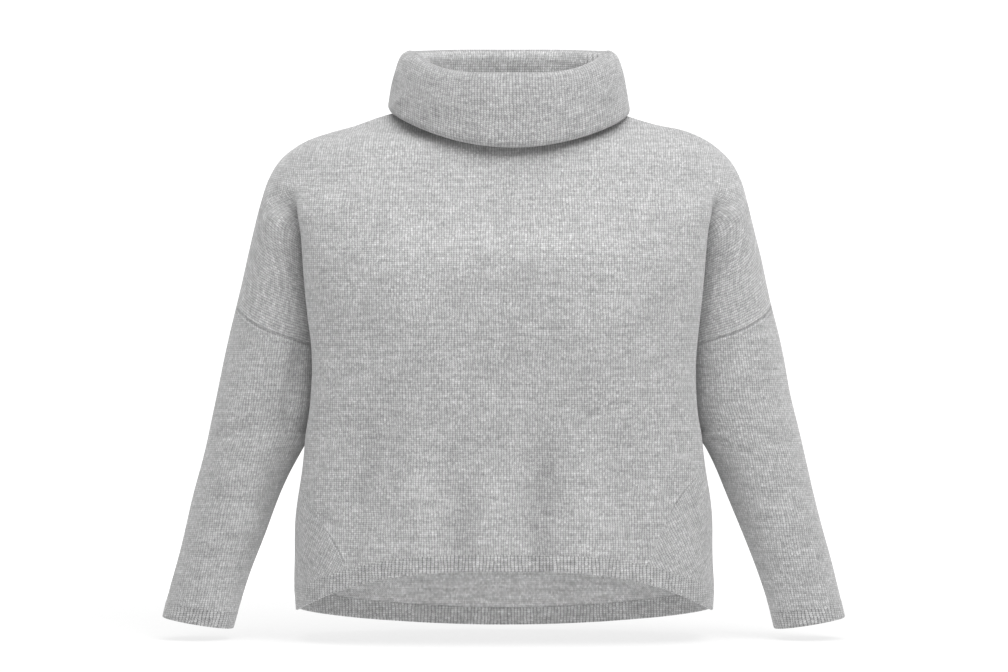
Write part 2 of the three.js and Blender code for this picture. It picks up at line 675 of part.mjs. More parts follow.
// A closed wall on a sheet: outside moved out by proud, inside the wall's thickness further in,
// and its border drawn back by inset so that pieces stay apart at a seam
function wallGeometry(sheet, normals, thickness, proud, inset) {
  const edges = boundaryEdges(sheet);
  const drawn = new Map();
  for (const [from, to] of edges) {
    const along = sheet.points[to].clone().sub(sheet.points[from]).normalize();
    for (const i of [from, to]) {
      const normal = normals.get(Sheet.key(sheet.points[i]));
      const inward = new THREE.Vector3().crossVectors(normal, along).normalize();
      if (!drawn.has(i)) drawn.set(i, []);
      drawn.get(i).push(inward);
    }
  }
  const outer = [];
  const inner = [];
  sheet.points.forEach((point, i) => {
    const normal = normals.get(Sheet.key(point));
    const place = point.clone();
    if (drawn.has(i)) {
      const sum = drawn.get(i).reduce((total, inward) => total.add(inward), new THREE.Vector3());
      const direction = sum.normalize();
      const spread = Math.max(direction.dot(drawn.get(i)[0]), LEAST_SPREAD);
      place.addScaledVector(direction, inset / spread);
    }
    outer.push(place.clone().addScaledVector(normal, proud));
    inner.push(place.clone().addScaledVector(normal, proud - thickness));
  });
  const count = sheet.points.length;
  const indices = [];
  for (const [a, b, c] of sheet.triangles) {
    indices.push(a, b, c);
    indices.push(count + a, count + c, count + b);
  }
  for (const [from, to] of edges) {
    const forward = Sheet.key(sheet.points[from]) < Sheet.key(sheet.points[to]);
    if (forward) indices.push(to, from, count + from, to, count + from, count + to);
    else indices.push(to, from, count + to, from, count + from, count + to);
  }
  const positions = [...outer, ...inner].flatMap((point) => point.toArray());
  const geometry = new THREE.BufferGeometry();
  geometry.setAttribute('position', new THREE.Float32BufferAttribute(positions, 3));
  geometry.setIndex(indices);
  geometry.computeVertexNormals();
  return geometry;
}

function cloth(name, color) {
  return new THREE.MeshStandardMaterial({ name, color, roughness: 0.95, metalness: 0 });
}

function buildSweater() {
  const sweater = new THREE.Group();
  const knits = {
    front_panel: panelGrids(-1),
    back_panel: panelGrids(1),
    side_gusset_left: gussetGrids(1),
    side_gusset_right: gussetGrids(-1),
    sleeve_left: sleeveGrids(1),
    sleeve_right: sleeveGrids(-1),
  };
  const bands = {
    hem_front: hemGrids(-1),
    hem_back: hemGrids(1),
    cuff_left: cuffGrids(1),
    cuff_right: cuffGrids(-1),
  };
  const sheets = new Map();
  for (const [name, grids] of Object.entries({ ...knits, ...bands })) sheets.set(name, new Sheet(grids));
  const normals = sharedNormals([...sheets.values()]);
  for (const [name, sheet] of sheets) {
    const isBand = name in bands;
    const geometry = isBand
      ? wallGeometry(sheet, normals, BAND_WALL, BAND_PROUD, SEAM_GAP / 2)
      : wallGeometry(sheet, normals, WALL, 0, SEAM_GAP / 2);
    const material = isBand ? cloth('band_knit', BAND_GREY) : cloth('knit', KNIT_GREY);
    const mesh = new THREE.Mesh(geometry, material);
    mesh.name = name;
    sweater.add(mesh);
  }
  const collarSheet = new Sheet(collarGrids());
  const collarNormals = sharedNormals([collarSheet]);
  const collar = new THREE.Mesh(
    wallGeometry(collarSheet, collarNormals, WALL, WALL / 2, 0),
    cloth('knit', KNIT_GREY),
  );
  collar.name = 'collar';
  sweater.add(collar);
  return sweater;
}

const sweater = buildSweater();

export default sweater;
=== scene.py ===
"""Looks of a grey knitted sweater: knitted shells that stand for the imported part's solids.

The tables and section functions are those of the part's source, in millimetres, read
in finer steps. X runs to the wearer's left, the front faces -Y and +Z is up.
"""

import math

import bpy
import numpy as np
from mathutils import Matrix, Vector


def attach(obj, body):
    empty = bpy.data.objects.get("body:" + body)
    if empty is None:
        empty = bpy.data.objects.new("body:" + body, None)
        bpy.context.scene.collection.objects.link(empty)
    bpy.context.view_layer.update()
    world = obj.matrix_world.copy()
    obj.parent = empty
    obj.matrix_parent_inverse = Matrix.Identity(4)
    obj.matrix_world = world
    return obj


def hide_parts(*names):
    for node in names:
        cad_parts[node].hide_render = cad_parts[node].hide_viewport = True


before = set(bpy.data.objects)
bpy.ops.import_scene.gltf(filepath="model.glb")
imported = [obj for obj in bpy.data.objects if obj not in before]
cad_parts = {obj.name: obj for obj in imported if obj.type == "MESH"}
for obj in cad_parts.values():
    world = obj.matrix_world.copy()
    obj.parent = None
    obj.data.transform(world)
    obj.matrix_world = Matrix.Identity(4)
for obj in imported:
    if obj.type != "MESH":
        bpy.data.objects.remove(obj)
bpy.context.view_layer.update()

METRE = 0.001
TINY = 1e-9

# Thickness of the cloth and of its doubled bands, how far a band stands out over the cloth
# beside it, and the rounding of free rims
WALL = 2.2
BAND_WALL = 3.0
BAND_PROUD = 0.15
RIM_ROUNDNESS = 0.8
RIM_STEPS = 3


def rows(text):
    """A table as a dict from column name to an array; the names are its first line."""
    names, *values = [line.split() for line in text.strip().splitlines()]
    return dict(zip(names, np.array(values, float).T))


def each(table):
    """A table's rows, each as a dict."""
    return [dict(zip(table, values)) for values in zip(*table.values())]


# Neckline and levels
NECK_HALF_WIDTH = 98
NECK_SIDE_HEIGHT = 14.5
FRONT_NECK_DROP = 42.5
BACK_NECK_DROP = 20.5
NECK_DEPTH = 62
YOKE_BOTTOM = -66.6
FOLD_FULL = -114
SEAM_IN_VALLEY = -254
UNDERARM = -347
SIDE_HEM = -543
FRONT_HEM = -493.6
BACK_HEM = -570.1
FRONT_BAND_HEIGHT = 18
BACK_BAND_HEIGHT = 20
SIDE_BAND_HEIGHT = 23
FRONT_HEM_CURVE = 3
BACK_HEM_CURVE = 0.75
CUFF_OUTER_END = -550.6
CUFF_INNER_END = -563.9
CUFF_HEIGHT = 17

# Shares of a level section, from the centre line to the outer ridge of shoulder and sleeve
EDGE_SHARE = 0.62
VALLEY_SHARE = 0.74
VALLEY_RIM_SHARE = 0.015
BODY_RIM = VALLEY_SHARE - VALLEY_RIM_SHARE
ARM_RIM = VALLEY_SHARE + VALLEY_RIM_SHARE
VALLEY_ANGLE = 61
VALLEY_HALF_WIDTH = 2
VALLEY_BED = 1.5
VALLEY_CLOSING = 20
SLEEVE_SEAM_HALF_WIDTH = 0.4
SHOULDER_ROUNDNESS = 2.3
CHEST_ROUNDNESS = 2.5

# The outer ridge of shoulder and sleeve, with a slight lean of the whole level
RIDGE = rows("""
z x y lean
14.5 98 5 0
2.2 142.6 5 2
-2.2 157.6 5 3
-6.7 173 5 4
-11.1 191 5 5
-22.2 220.3 5 3.5
-33.3 237.5 5 2.4
-44.4 249.2 5 1.8
-66.6 262.5 5 1
-88.8 269.7 5 0.5
-133 279.7 5 0
-178 290.3 5 0
-222 300.8 5 0
-266 310.8 5 0
-311 319.7 5 0
-347 327.9 5 0
-400 340.8 4 0
-444 350.8 2 0
-488 362.4 -2 0
-551 378.5 -8 0
""")
# Depths before and behind the ridge, at the centre line
CENTRE = rows("""
z front back
14.5 0 0
8 12 18
0 26 41
-11 42 61
-28 70 79
-44 84 91
-66 97 102
-90 109 109
-120 121 114
-160 132 117
-220 131 115
-300 125 109
-400 125 109
-500 131 115
-570 134 121
""")
# The body's edge, and the bottom of the valley between body and sleeve
EDGE = rows("""
z x front back inset valley_front valley_back
-66 238 -64 60 4 -60 57
-112 225 -66 62 6 -42 46
-160 220.5 -66 60 8 -27 35
-220 214 -63 56 8 -20 30
-285 210.5 -58 51 6.5 -15 25
-324 212.4 -54 48 4 -10 20
-347 216.5 -50 46 2.1 5 5
-382 221 -45 42 3 5 5
-435 228.3 -32 35 2.5 5 5
-480 230.8 -18 26 1.5 5 5
-515 232.2 -8 17 0.7 5 5
-543 230.2 -1 11 0 5 5
-570 229.4 -1 11 0 5 5
""")
# The sleeve's depths, and its inner side below the underarm
SLEEVE = rows("""
z front back inner
-66 57 54 214.4
-200 57 54 214.4
-347 53 50 214.4
-364 52.5 49.5 223.8
-382 51 48 232.8
-400 49.5 46.5 241
-444 46 44 259.7
-488 41 40 276.4
-533 37 36 290.8
-564 35 34 299.7
""")
# The armhole seam by its turn round the sleeve, from the valley to the ridge
ARMHOLE = rows("""
z turn
-254 0
-249 30
-243 60
-235 90
-224 120
-212 150
-203 180
""")
# Where the gussets' front seams run, as a share of the way out from the centre line
GUSSET_SEAM = rows("""
down left right
0 1 1
0.0625 0.96 1
0.125 0.89 0.97
0.1875 0.79 0.92
0.25 0.67 0.86
0.3125 0.6 0.785
0.375 0.545 0.7
0.5 0.475 0.59
0.625 0.435 0.52
0.75 0.4 0.47
0.875 0.372 0.43
1 0.345 0.4
""")
# Broad upright troughs of the front and back. A negative depth stands out.
FRONT_FOLDS = rows("""
x z lean length width depth
-106 -225 0 95 56 -6
100 -225 0 95 56 -6
-150 -400 0.26 110 22 4.5
-44 -440 0.12 80 17 3.5
46 -395 -0.24 105 21 5
128 -430 -0.16 70 19 3
""")
BACK_FOLDS = rows("""
x z lean length width depth
118 -400 0.18 120 24 4.5
30 -450 0.06 90 19 4
-62 -380 -0.14 125 22 5
-150 -440 -0.2 80 20 3.5
""")
FOLD_FREE_EDGE = 205
FOLD_FADE = 40
# Troughs across the sleeves, by their level and their turn round the sleeve
SLEEVE_FOLDS = rows("""
side z turn lean height spread depth
1 -318 70 14 15 55 2.6
1 -412 60 -12 13 60 2.8
1 -470 235 10 14 60 2.6
1 -370 250 12 16 60 3
-1 -338 80 -12 14 55 2.4
-1 -428 65 12 14 60 2.8
-1 -392 240 -12 15 60 3
-1 -480 230 10 13 55 2.4
""")
SLEEVE_FOLD_START = -262
SLEEVE_FOLD_FADE = 40

# The collar's rings, from the neckline up its inside, over the rim and down to its edge: how
# far out each lies, how much of the drift it takes, and its height over its base (0 for the
# neckline, 1 for the rim, 2 for the lower edge)
COLLAR_DRIFT = 5.4
COLLAR = rows("""
side front back drift base height
-3.1 -3.1 -3.1 0 0 -4
-2.8 -2.6 -3 0.1 0 8
-1.5 -0.5 -3 0.5 0 24
1.5 2 -2.5 0.8 1 -20
3.5 3.5 -2.5 1 1 -10
6 6.5 -0.5 1 1 -4.5
12 12 4 1 1 -1.1
18.5 17 9 1 1 -4
23 20 12 1 1 -10
28 23.5 16 1 1 -25
31.5 26 19.5 1 2 28
34 27 22 1 2 13
35 26.8 22.8 1 2 5
33.4 24.8 21 1 2 1.2
30.2 21.8 18.3 1 2 0
27.8 19 15.5 1 2 2
26.6 17.6 14.2 1 2 7
26 17.2 13.8 1 2 14
""")
COLLAR_RIM = {"front": 47.5, "side": 77.5, "back": 83}
COLLAR_EDGE = {"front": -34, "side": 9, "back": -6}
COLLAR_EDGE_TILT = 2
COLLAR_RIM_FLATNESS = 4
COLLAR_EDGE_CURVE = 1.25

# Mesh steps
CHEST_STEPS = 56
FLANK_STEPS = 9
ARM_STEPS = 36
YOKE_ROWS = 26
YOKE_CROWDING = 1.4
UPPER_ROWS = 44
VALLEY_ROWS = 24
LOWER_ROWS = 48
GUSSET_STEPS = 14
SLEEVE_ROWS = 52
BAND_ROWS = 8
COLLAR_STEPS = 300
COLLAR_FINENESS = 6


def mix(start, end, share):
    return start + (end - start) * share


def ease(share):
    s = np.clip(share, 0, 1)
    return s * s * (3 - 2 * s)


def read(table, column, value, key="z"):
    """Smooth value of a table's column, never past the rows' own values."""
    keys, data = table[key], table[column]
    value = np.asarray(value, float)
    if keys[-1] < keys[0]:
        keys, value = -keys, -value
    rise = np.diff(data) / np.diff(keys)
    before = np.concatenate([rise[:1], rise])
    after = np.concatenate([rise, rise[-1:]])
    steepest = 3 * np.minimum(abs(before), abs(after))
    slope = np.sign(before) * np.minimum(abs(before + after) / 2, steepest)
    slope = np.where(before * after <= 0, 0, slope)
    value = np.clip(value, keys[0], keys[-1])
    i = np.clip(np.searchsorted(keys, value, side="right") - 1, 0, len(keys) - 2)
    span = keys[i + 1] - keys[i]
    s = (value - keys[i]) / span
    start, end = data[i], data[i + 1]
    start_pull, end_pull = slope[i] * span, slope[i + 1] * span
    return (
        start
        + s * start_pull
        + s * s * (3 * (end - start) - 2 * start_pull - end_pull)
        + s**3 * (2 * (start - end) + start_pull + end_pull)
    )


def unit(vectors):
    return vectors / np.maximum(np.linalg.norm(vectors, axis=-1, keepdims=True), TINY)


def super_sin(angle, roundness):
    return np.clip(np.sin(np.radians(angle)), 0, 1) ** (2 / roundness)


def super_cos(angle, roundness):
    return np.clip(np.cos(np.radians(angle)), 0, 1) ** (2 / roundness)


def named(face):
    return "front" if face < 0 else "back"


def shoulder_angle(share):
    outer = mix(VALLEY_ANGLE, 90, (share - VALLEY_SHARE) / (1 - VALLEY_SHARE))
    return np.where(share <= VALLEY_SHARE, VALLEY_ANGLE * share / VALLEY_SHARE, outer)


def shoulder_share(angle):
    outer = mix(VALLEY_SHARE, 1, (angle - VALLEY_ANGLE) / (90 - VALLEY_ANGLE))
    return np.where(angle <= VALLEY_ANGLE, VALLEY_SHARE * angle / VALLEY_ANGLE, outer)


def shoulder_point(z, share, face):
    """One smooth round section, as over the shoulders."""
    angle = shoulder_angle(share)
    depth = read(CENTRE, named(face), z)
    x = read(RIDGE, "x", z) * super_sin(angle, SHOULDER_ROUNDNESS)
    y = read(RIDGE, "y", z) + face * depth * super_cos(angle, SHOULDER_ROUNDNESS)
    return x, y


def valley_middle(z, face):
    wall_x = read(EDGE, "x", z) - read(EDGE, "inset", z)
    opening = ease((z - UNDERARM) / VALLEY_CLOSING)
    y = read(EDGE, "valley_" + named(face), z)
    return wall_x, wall_x + VALLEY_HALF_WIDTH * opening, y


def body_point(z, share, face):
    """The body from the centre, round its edge and back into the valley."""
    edge_x, edge_y = read(EDGE, "x", z), read(EDGE, named(face), z)
    wall_x, valley_x, valley_y = valley_middle(z, face)
    rim_y = valley_y + face * VALLEY_BED
    angle = 90 * np.clip(share / EDGE_SHARE, 0, 1)
    centre_y = read(RIDGE, "y", YOKE_BOTTOM) + face * read(CENTRE, named(face), z)
    chest_x = edge_x * super_sin(angle, CHEST_ROUNDNESS)
    chest_y = mix(edge_y, centre_y, super_cos(angle, CHEST_ROUNDNESS))
    s = np.clip((share - EDGE_SHARE) / (BODY_RIM - EDGE_SHARE), 0, 1)
    flank_x, flank_y = mix(edge_x, wall_x, ease(s)), mix(edge_y, rim_y, s)
    s = np.clip((share - BODY_RIM) / VALLEY_RIM_SHARE, 0, 1)
    bed_x, bed_y = mix(wall_x, valley_x, s), mix(rim_y, valley_y, np.sin(s * np.pi / 2))
    on_chest, on_flank = share <= EDGE_SHARE, share <= BODY_RIM
    x = np.where(on_chest, chest_x, np.where(on_flank, flank_x, bed_x))
    y = np.where(on_chest, chest_y, np.where(on_flank, flank_y, bed_y))
    return x, y


def arm_point(z, share, face, ridge_z=None, closed=False):
    """The sleeve from the valley, or from its inner side, round to the outer ridge."""
    ridge_z = z if ridge_z is None else ridge_z
    ridge_x, ridge_y = read(RIDGE, "x", ridge_z), read(RIDGE, "y", ridge_z)
    depth = read(SLEEVE, named(face), z)
    if closed:
        inner_x, inner_y = read(SLEEVE, "inner", z), ridge_y
        rim_x = inner_x + SLEEVE_SEAM_HALF_WIDTH
    else:
        inner_x, inner_y = valley_middle(z, face)[1:]
        rim_x = inner_x + VALLEY_HALF_WIDTH
    rim_y = inner_y + face * VALLEY_BED
    s = np.clip((share - VALLEY_SHARE) / VALLEY_RIM_SHARE, 0, 1)
    bed_x, bed_y = mix(inner_x, rim_x, s), mix(inner_y, rim_y, np.sin(s * np.pi / 2))
    turn = 180 * np.clip((share - ARM_RIM) / (1 - ARM_RIM), 0, 1)
    along = -np.cos(np.radians(turn))
    start = np.where(turn < 90, rim_y, ridge_y)
    x = (rim_x + ridge_x) / 2 + along * (ridge_x - rim_x) / 2
    y = mix(start, ridge_y + face * depth, np.sin(np.radians(turn)))
    in_bed = share <= ARM_RIM
    return np.where(in_bed, bed_x, x), np.where(in_bed, bed_y, y)


def fold_depth(x, z, face):
    """Depth of the soft troughs at a place on the front or back."""
    folds = FRONT_FOLDS if face < 0 else BACK_FOLDS
    depth = 0
    for fold in each(folds):
        across = (x - fold["x"] - fold["lean"] * (z - fold["z"])) / fold["width"]
        along = (z - fold["z"]) / fold["length"]
        depth = depth + fold["depth"] * np.exp(-(across**2) - along**4)
    return depth * ease((FOLD_FREE_EDGE - abs(x)) / FOLD_FADE)


def alike(z, share):
    return np.broadcast_arrays(np.asarray(z, float), np.asarray(share, float))


def panel_point(z, share, face, side):
    """Points of the front, back or shoulder; side is 1 on the wearer's left."""
    z, share = alike(z, share)
    opening = ease((YOKE_BOTTOM - z) / (YOKE_BOTTOM - FOLD_FULL))
    body, arm = body_point(z, share, face), arm_point(z, share, face)
    round_one = shoulder_point(z, share, face)
    on_body = share <= VALLEY_SHARE
    x, y = (
        mix(round_one[i], np.where(on_body, body[i], arm[i]), opening) for i in (0, 1)
    )
    out = x / read(RIDGE, "x", z)
    x = x * side + out * out * read(RIDGE, "lean", z)
    y = np.where(share < EDGE_SHARE, y - face * fold_depth(x, z, face), y)
    return np.stack([x, y, z], -1)


def armhole_height(share):
    turn = 180 * np.clip(share - ARM_RIM, 0, 1) / (1 - ARM_RIM)
    return read(ARMHOLE, "z", turn, "turn")


def width_share(share):
    return super_sin(90 * np.clip(share / EDGE_SHARE, 0, 1), CHEST_ROUNDNESS)


def hem_edge(share, face):
    if face < 0:
        return mix(FRONT_HEM, SIDE_HEM, width_share(share) ** FRONT_HEM_CURVE)
    round_share = 1 - np.cos(np.radians(90 * np.clip(share / EDGE_SHARE, 0, 1)))
    return mix(BACK_HEM, SIDE_HEM, round_share**BACK_HEM_CURVE)


def band_top(share, face):
    height = FRONT_BAND_HEIGHT if face < 0 else BACK_BAND_HEIGHT
    return hem_edge(share, face) + mix(height, SIDE_BAND_HEIGHT, width_share(share) ** 2)


def steps(start, end, count):
    return np.linspace(start, end, count + 1)


def body_shares():
    chest = steps(0, EDGE_SHARE, CHEST_STEPS)
    flank = steps(EDGE_SHARE, BODY_RIM, FLANK_STEPS)[1:]
    bed = steps(BODY_RIM, VALLEY_SHARE, 2)[1:]
    return np.concatenate([chest, flank, bed])


def arm_shares():
    bed = steps(VALLEY_SHARE, ARM_RIM, 2)
    return np.concatenate([bed, steps(ARM_RIM, 1, ARM_STEPS)[1:]])


def neckline(out, face):
    drop = FRONT_NECK_DROP if face < 0 else BACK_NECK_DROP
    z = NECK_SIDE_HEIGHT - drop * np.sqrt(np.clip(1 - out * out, 0, 1))
    reach = np.clip(NECK_HALF_WIDTH * out / read(RIDGE, "x", z), 0, 1)
    angle = np.degrees(np.arcsin(reach ** (SHOULDER_ROUNDNESS / 2)))
    return z, shoulder_share(angle)


# The knitted fabric's own coordinates: across the wales, and along them. The wales turn
# between two levels towards the dropped armhole, and lean in the gussets.
ARC_LEVELS = np.linspace(NECK_SIDE_HEIGHT, BACK_HEM, 118)
ARC_SHARES = np.linspace(0, 1, 201)
YOKE_SLOPE_SHARE = 0.8
TWIST_TOP = -40
TWIST_BOTTOM = -190
CAP_ACROSS = 430
CAP_ALONG = -60
GUSSET_LEAN = 30
SLEEVE_SLOPE_LENGTH = 1.03


def arc_table(face):
    z, share = np.meshgrid(ARC_LEVELS, ARC_SHARES, indexing="ij")
    points = panel_point(z, share, face, 1)
    lengths = np.linalg.norm(np.diff(points, axis=1), axis=-1)
    return np.concatenate([np.zeros((len(ARC_LEVELS), 1)), np.cumsum(lengths, 1)], 1)


ARCS = {-1: arc_table(-1), 1: arc_table(1)}


def arc(z, share, face):
    """Length of the level section from the centre line out to a share."""
    z, share = alike(z, share)
    level = (ARC_LEVELS[0] - z) / (ARC_LEVELS[0] - ARC_LEVELS[-1])
    level = level * (len(ARC_LEVELS) - 1)
    place = share * (len(ARC_SHARES) - 1)
    i = np.clip(level.astype(int), 0, len(ARC_LEVELS) - 2)
    j = np.clip(place.astype(int), 0, len(ARC_SHARES) - 2)
    s, t = level - i, place - j
    lengths = ARCS[face]
    upper = mix(lengths[i, j], lengths[i, j + 1], t)
    lower = mix(lengths[i + 1, j], lengths[i + 1, j + 1], t)
    return mix(upper, lower, s)


def fall(z, face):
    """Length down the front or back from the shoulder, its slope included."""
    depth = read(CENTRE, named(face), ARC_LEVELS) * YOKE_SLOPE_SHARE
    lengths = np.hypot(np.diff(ARC_LEVELS), np.diff(depth))
    total = np.concatenate([[0], np.cumsum(lengths)])
    return np.interp(-np.asarray(z, float), -ARC_LEVELS, total)


def panel_knit(z, share, face, side):
    """Straight wales on the body, which turn to follow the armhole seam over the arm."""
    z, share = alike(z, share)
    across, along = arc(z, share, face), -fall(z, face)
    cap_across = CAP_ACROSS - (z - armhole_height(share))
    cap_along = CAP_ALONG - (arc(z, 1, face) - arc(z, share, face))
    twist = ease((TWIST_TOP - z) / (TWIST_TOP - TWIST_BOTTOM))
    twist = twist * ease((share - EDGE_SHARE) / (VALLEY_SHARE - EDGE_SHARE))
    upper = ease((z - UNDERARM) / (YOKE_BOTTOM - UNDERARM))
    twist = twist * np.where(share > VALLEY_SHARE, 1, upper)
    return np.stack([side * mix(across, cap_across, twist), mix(along, cap_along, twist)], -1)


def turned(points, knit, face, side):
    """A grid with its columns so that the outer side of the cloth faces out."""
    if face * side < 0:
        return points, knit
    return points[:, ::-1], knit[:, ::-1]


def panel_grid(z, share, face, side):
    grid = panel_point(z, share, face, side), panel_knit(z, share, face, side)
    return turned(*grid, face, side)


def seam_reach(down, side):
    return read(GUSSET_SEAM, "left" if side > 0 else "right", down, "down")


def crowded(count, closeness=0.35):
    """Even steps from 0 to 1 with one more close to each end."""
    even = steps(0, 1, count)
    return np.concatenate([[0], [closeness / count], even[1:-1], [1 - closeness / count], [1]])


def panel_grids(face):
    """The yoke, the part down to the armholes, the valley's side and the lower body."""
    grids = []
    for side in (1, -1):
        body, arm = body_shares(), arm_shares()
        whole = np.concatenate([body, arm[1:]])
        down = (steps(0, 1, YOKE_ROWS) ** YOKE_CROWDING)[:, None]
        neck_z, neck_share = neckline(np.sin(np.radians(90 * whole)), face)
        z, share = mix(neck_z, YOKE_BOTTOM, down), mix(neck_share, whole, down)
        grids.append(panel_grid(z, share, face, side))
        down = crowded(UPPER_ROWS)[:, None]
        z = mix(YOKE_BOTTOM, armhole_height(whole), down)
        grids.append(panel_grid(z, whole + 0 * down, face, side))
        down = steps(0, 1, VALLEY_ROWS)[:, None]
        grids.append(panel_grid(mix(SEAM_IN_VALLEY, UNDERARM, down), body + 0 * down, face, side))
        down = crowded(LOWER_ROWS)[:, None]
        share = body * seam_reach(down, side) if face < 0 else body + 0 * down
        grids.append(panel_grid(mix(UNDERARM, band_top(share, face), down), share, face, side))
    return grids


def gusset_shares(reach):
    start = VALLEY_SHARE * reach
    edge = np.maximum(start, EDGE_SHARE)
    front = mix(start, edge, steps(0, 1, GUSSET_STEPS))
    return np.concatenate([front, mix(edge, VALLEY_SHARE, steps(0, 1, FLANK_STEPS)[1:])], -1)


def gusset_grids(side):
    down = crowded(LOWER_ROWS)[:, None]
    share = gusset_shares(seam_reach(down, side))
    z = mix(UNDERARM, band_top(share, -1), down)
    across, along = arc(z, share, -1), -fall(z, -1)
    lean = math.radians(GUSSET_LEAN)
    turned_across = side * (across * math.cos(lean) + along * math.sin(lean))
    turned_along = along * math.cos(lean) - across * math.sin(lean)
    knit = np.stack([turned_across, turned_along], -1)
    return [turned(panel_point(z, share, -1, side), knit, -1, side)]


def hem_grids(face):
    grids = []
    for side in (1, -1):
        reach = seam_reach(1, side) if face < 0 else 1
        share = body_shares() * reach
        if face < 0:
            share = np.concatenate([share, gusset_shares(reach)[1:]])
        down = steps(0, 1, BAND_ROWS)[:, None]
        z = mix(band_top(share, face), hem_edge(share, face), down)
        grids.append(panel_grid(z, share + 0 * down, face, side))
    return grids


def sleeve_dent(z, turn, side):
    """How far a sleeve's surface is pressed in at a level and turn."""
    depth = 0
    for fold in each(SLEEVE_FOLDS):
        if fold["side"] == side:
            across = (turn - fold["turn"]) / fold["spread"]
            along = (z - fold["z"] - fold["lean"] * across) / fold["height"]
            depth = depth + fold["depth"] * np.exp(-(across**2) - along**2)
    return depth * ease((SLEEVE_FOLD_START - z) / SLEEVE_FOLD_FADE)


def dented(x, y, z, share, face, side):
    turn = 180 * (share - VALLEY_SHARE) / (1 - VALLEY_SHARE)
    around = turn if face < 0 else 360 - turn
    y = y - face * sleeve_dent(z, around, side) * np.sin(np.radians(turn))
    return np.stack([x * side, y, z], -1)


def sleeve_knit(points, side, face):
    """Wales along the sleeve, counted from its outer ridge."""
    lengths = np.linalg.norm(np.diff(points, axis=1), axis=-1)
    around = np.cumsum(lengths[:, ::-1], 1)[:, ::-1]
    around = np.concatenate([around, np.zeros((len(points), 1))], 1)
    return np.stack([-side * face * around, points[..., 2] * SLEEVE_SLOPE_LENGTH], -1)


def sleeve_rows(downs, side, face):
    """Rings of the closed sleeve below the underarm, which tilt towards the cuff."""
    share = arm_shares() + 0 * downs[:, None]
    ridge_z = mix(UNDERARM, CUFF_OUTER_END, downs)[:, None] + 0 * share
    inner_z = mix(UNDERARM, CUFF_INNER_END, downs)[:, None] + 0 * share
    x, y = arm_point(inner_z, share, face, ridge_z, closed=True)
    inner_x, ridge_x = read(SLEEVE, "inner", inner_z), read(RIDGE, "x", ridge_z)
    z = mix(inner_z, ridge_z, (x - inner_x) / (ridge_x - inner_x))
    points = dented(x, y, z, share, face, side)
    return turned(points, sleeve_knit(points, side, face), face, side)


CUFF_START = 1 - CUFF_HEIGHT / (UNDERARM - CUFF_OUTER_END)


def sleeve_grids(side):
    """From the armhole seam to the underarm, and from there to the cuff."""
    grids = []
    for face in (-1, 1):
        down = crowded(VALLEY_ROWS)[:, None]
        share = arm_shares() + 0 * down
        z = mix(armhole_height(share), UNDERARM, down)
        x, y = arm_point(z, share, face)
        points = dented(x, y, z, share, face, side)
        last = down[:, 0] == 1
        x, y = arm_point(z[last], share[last], face, closed=True)
        points[last] = dented(x, y, z[last], share[last], face, side)
        grids.append(turned(points, sleeve_knit(points, side, face), face, side))
        grids.append(sleeve_rows(crowded(SLEEVE_ROWS) * CUFF_START, side, face))
    return grids


def cuff_grids(side):
    downs = mix(CUFF_START, 1, steps(0, 1, BAND_ROWS))
    return [sleeve_rows(downs, side, face) for face in (-1, 1)]


def collar_rings():
    """The collar's rings, as points by ring and turn."""
    turn = np.radians(360 * (np.arange(COLLAR_STEPS + 1) % COLLAR_STEPS) / COLLAR_STEPS)
    sine, cosine = np.sin(turn), np.cos(turn)
    front = sine > 0
    out = abs(cosine)
    neck = NECK_SIDE_HEIGHT - np.where(front, FRONT_NECK_DROP, BACK_NECK_DROP) * abs(sine)
    rim_centre = np.where(front, COLLAR_RIM["front"], COLLAR_RIM["back"])
    edge_centre = np.where(front, COLLAR_EDGE["front"], COLLAR_EDGE["back"])
    rim = mix(rim_centre, COLLAR_RIM["side"], out**COLLAR_RIM_FLATNESS)
    edge = mix(COLLAR_EDGE["side"], edge_centre, abs(sine) ** COLLAR_EDGE_CURVE)
    bases = [neck, rim, edge - COLLAR_EDGE_TILT * cosine]
    outward = unit(np.stack([cosine * NECK_DEPTH, -sine * NECK_HALF_WIDTH], -1))
    start = np.zeros((len(turn), 3))
    for face, chosen in ((-1, front), (1, ~front)):
        for side in (1, -1):
            these = chosen & (np.where(cosine >= 0, 1, -1) == side)
            z, share = neckline(out[these], face)
            start[these] = panel_point(z, share, face, side)
    rings = []
    for ring in each(COLLAR):
        reach = mix(ring["side"], np.where(front, ring["front"], ring["back"]), sine**2)
        place = start.copy()
        place[:, :2] += reach[:, None] * outward
        place[:, 0] += COLLAR_DRIFT * ring["drift"]
        place[:, 2] = bases[int(ring["base"])] + ring["height"]
        rings.append(place)
    return np.array(rings)


def smooth_rows(points, fineness):
    """More rows between the given ones, on a smooth curve through them."""
    before, after = 2 * points[:1] - points[1:2], 2 * points[-1:] - points[-2:-1]
    padded = np.concatenate([before, points, after])
    made = []
    for i in range(len(points) - 1):
        a, b, c, d = padded[i : i + 4]
        for s in np.arange(fineness) / fineness:
            bend = s * s * (2 * a - 5 * b + 4 * c - d) + s**3 * (3 * b - a - 3 * c + d)
            made.append(0.5 * (2 * b + s * (c - a) + bend))
    return np.array([*made, points[-1]])


# The collar's length round, and the length from the neckline up to its fold
COLLAR_ROUND = 620
COLLAR_FOLD = 78


def collar_grids():
    points = smooth_rows(collar_rings(), COLLAR_FINENESS)
    lengths = np.linalg.norm(np.diff(points, axis=0), axis=-1).mean(1)
    along = np.concatenate([[0], np.cumsum(lengths)])
    around = np.linspace(0, 1, points.shape[1]) * COLLAR_ROUND
    across, along = np.meshgrid(around, along)
    return [(points, np.stack([across, along], -1))]


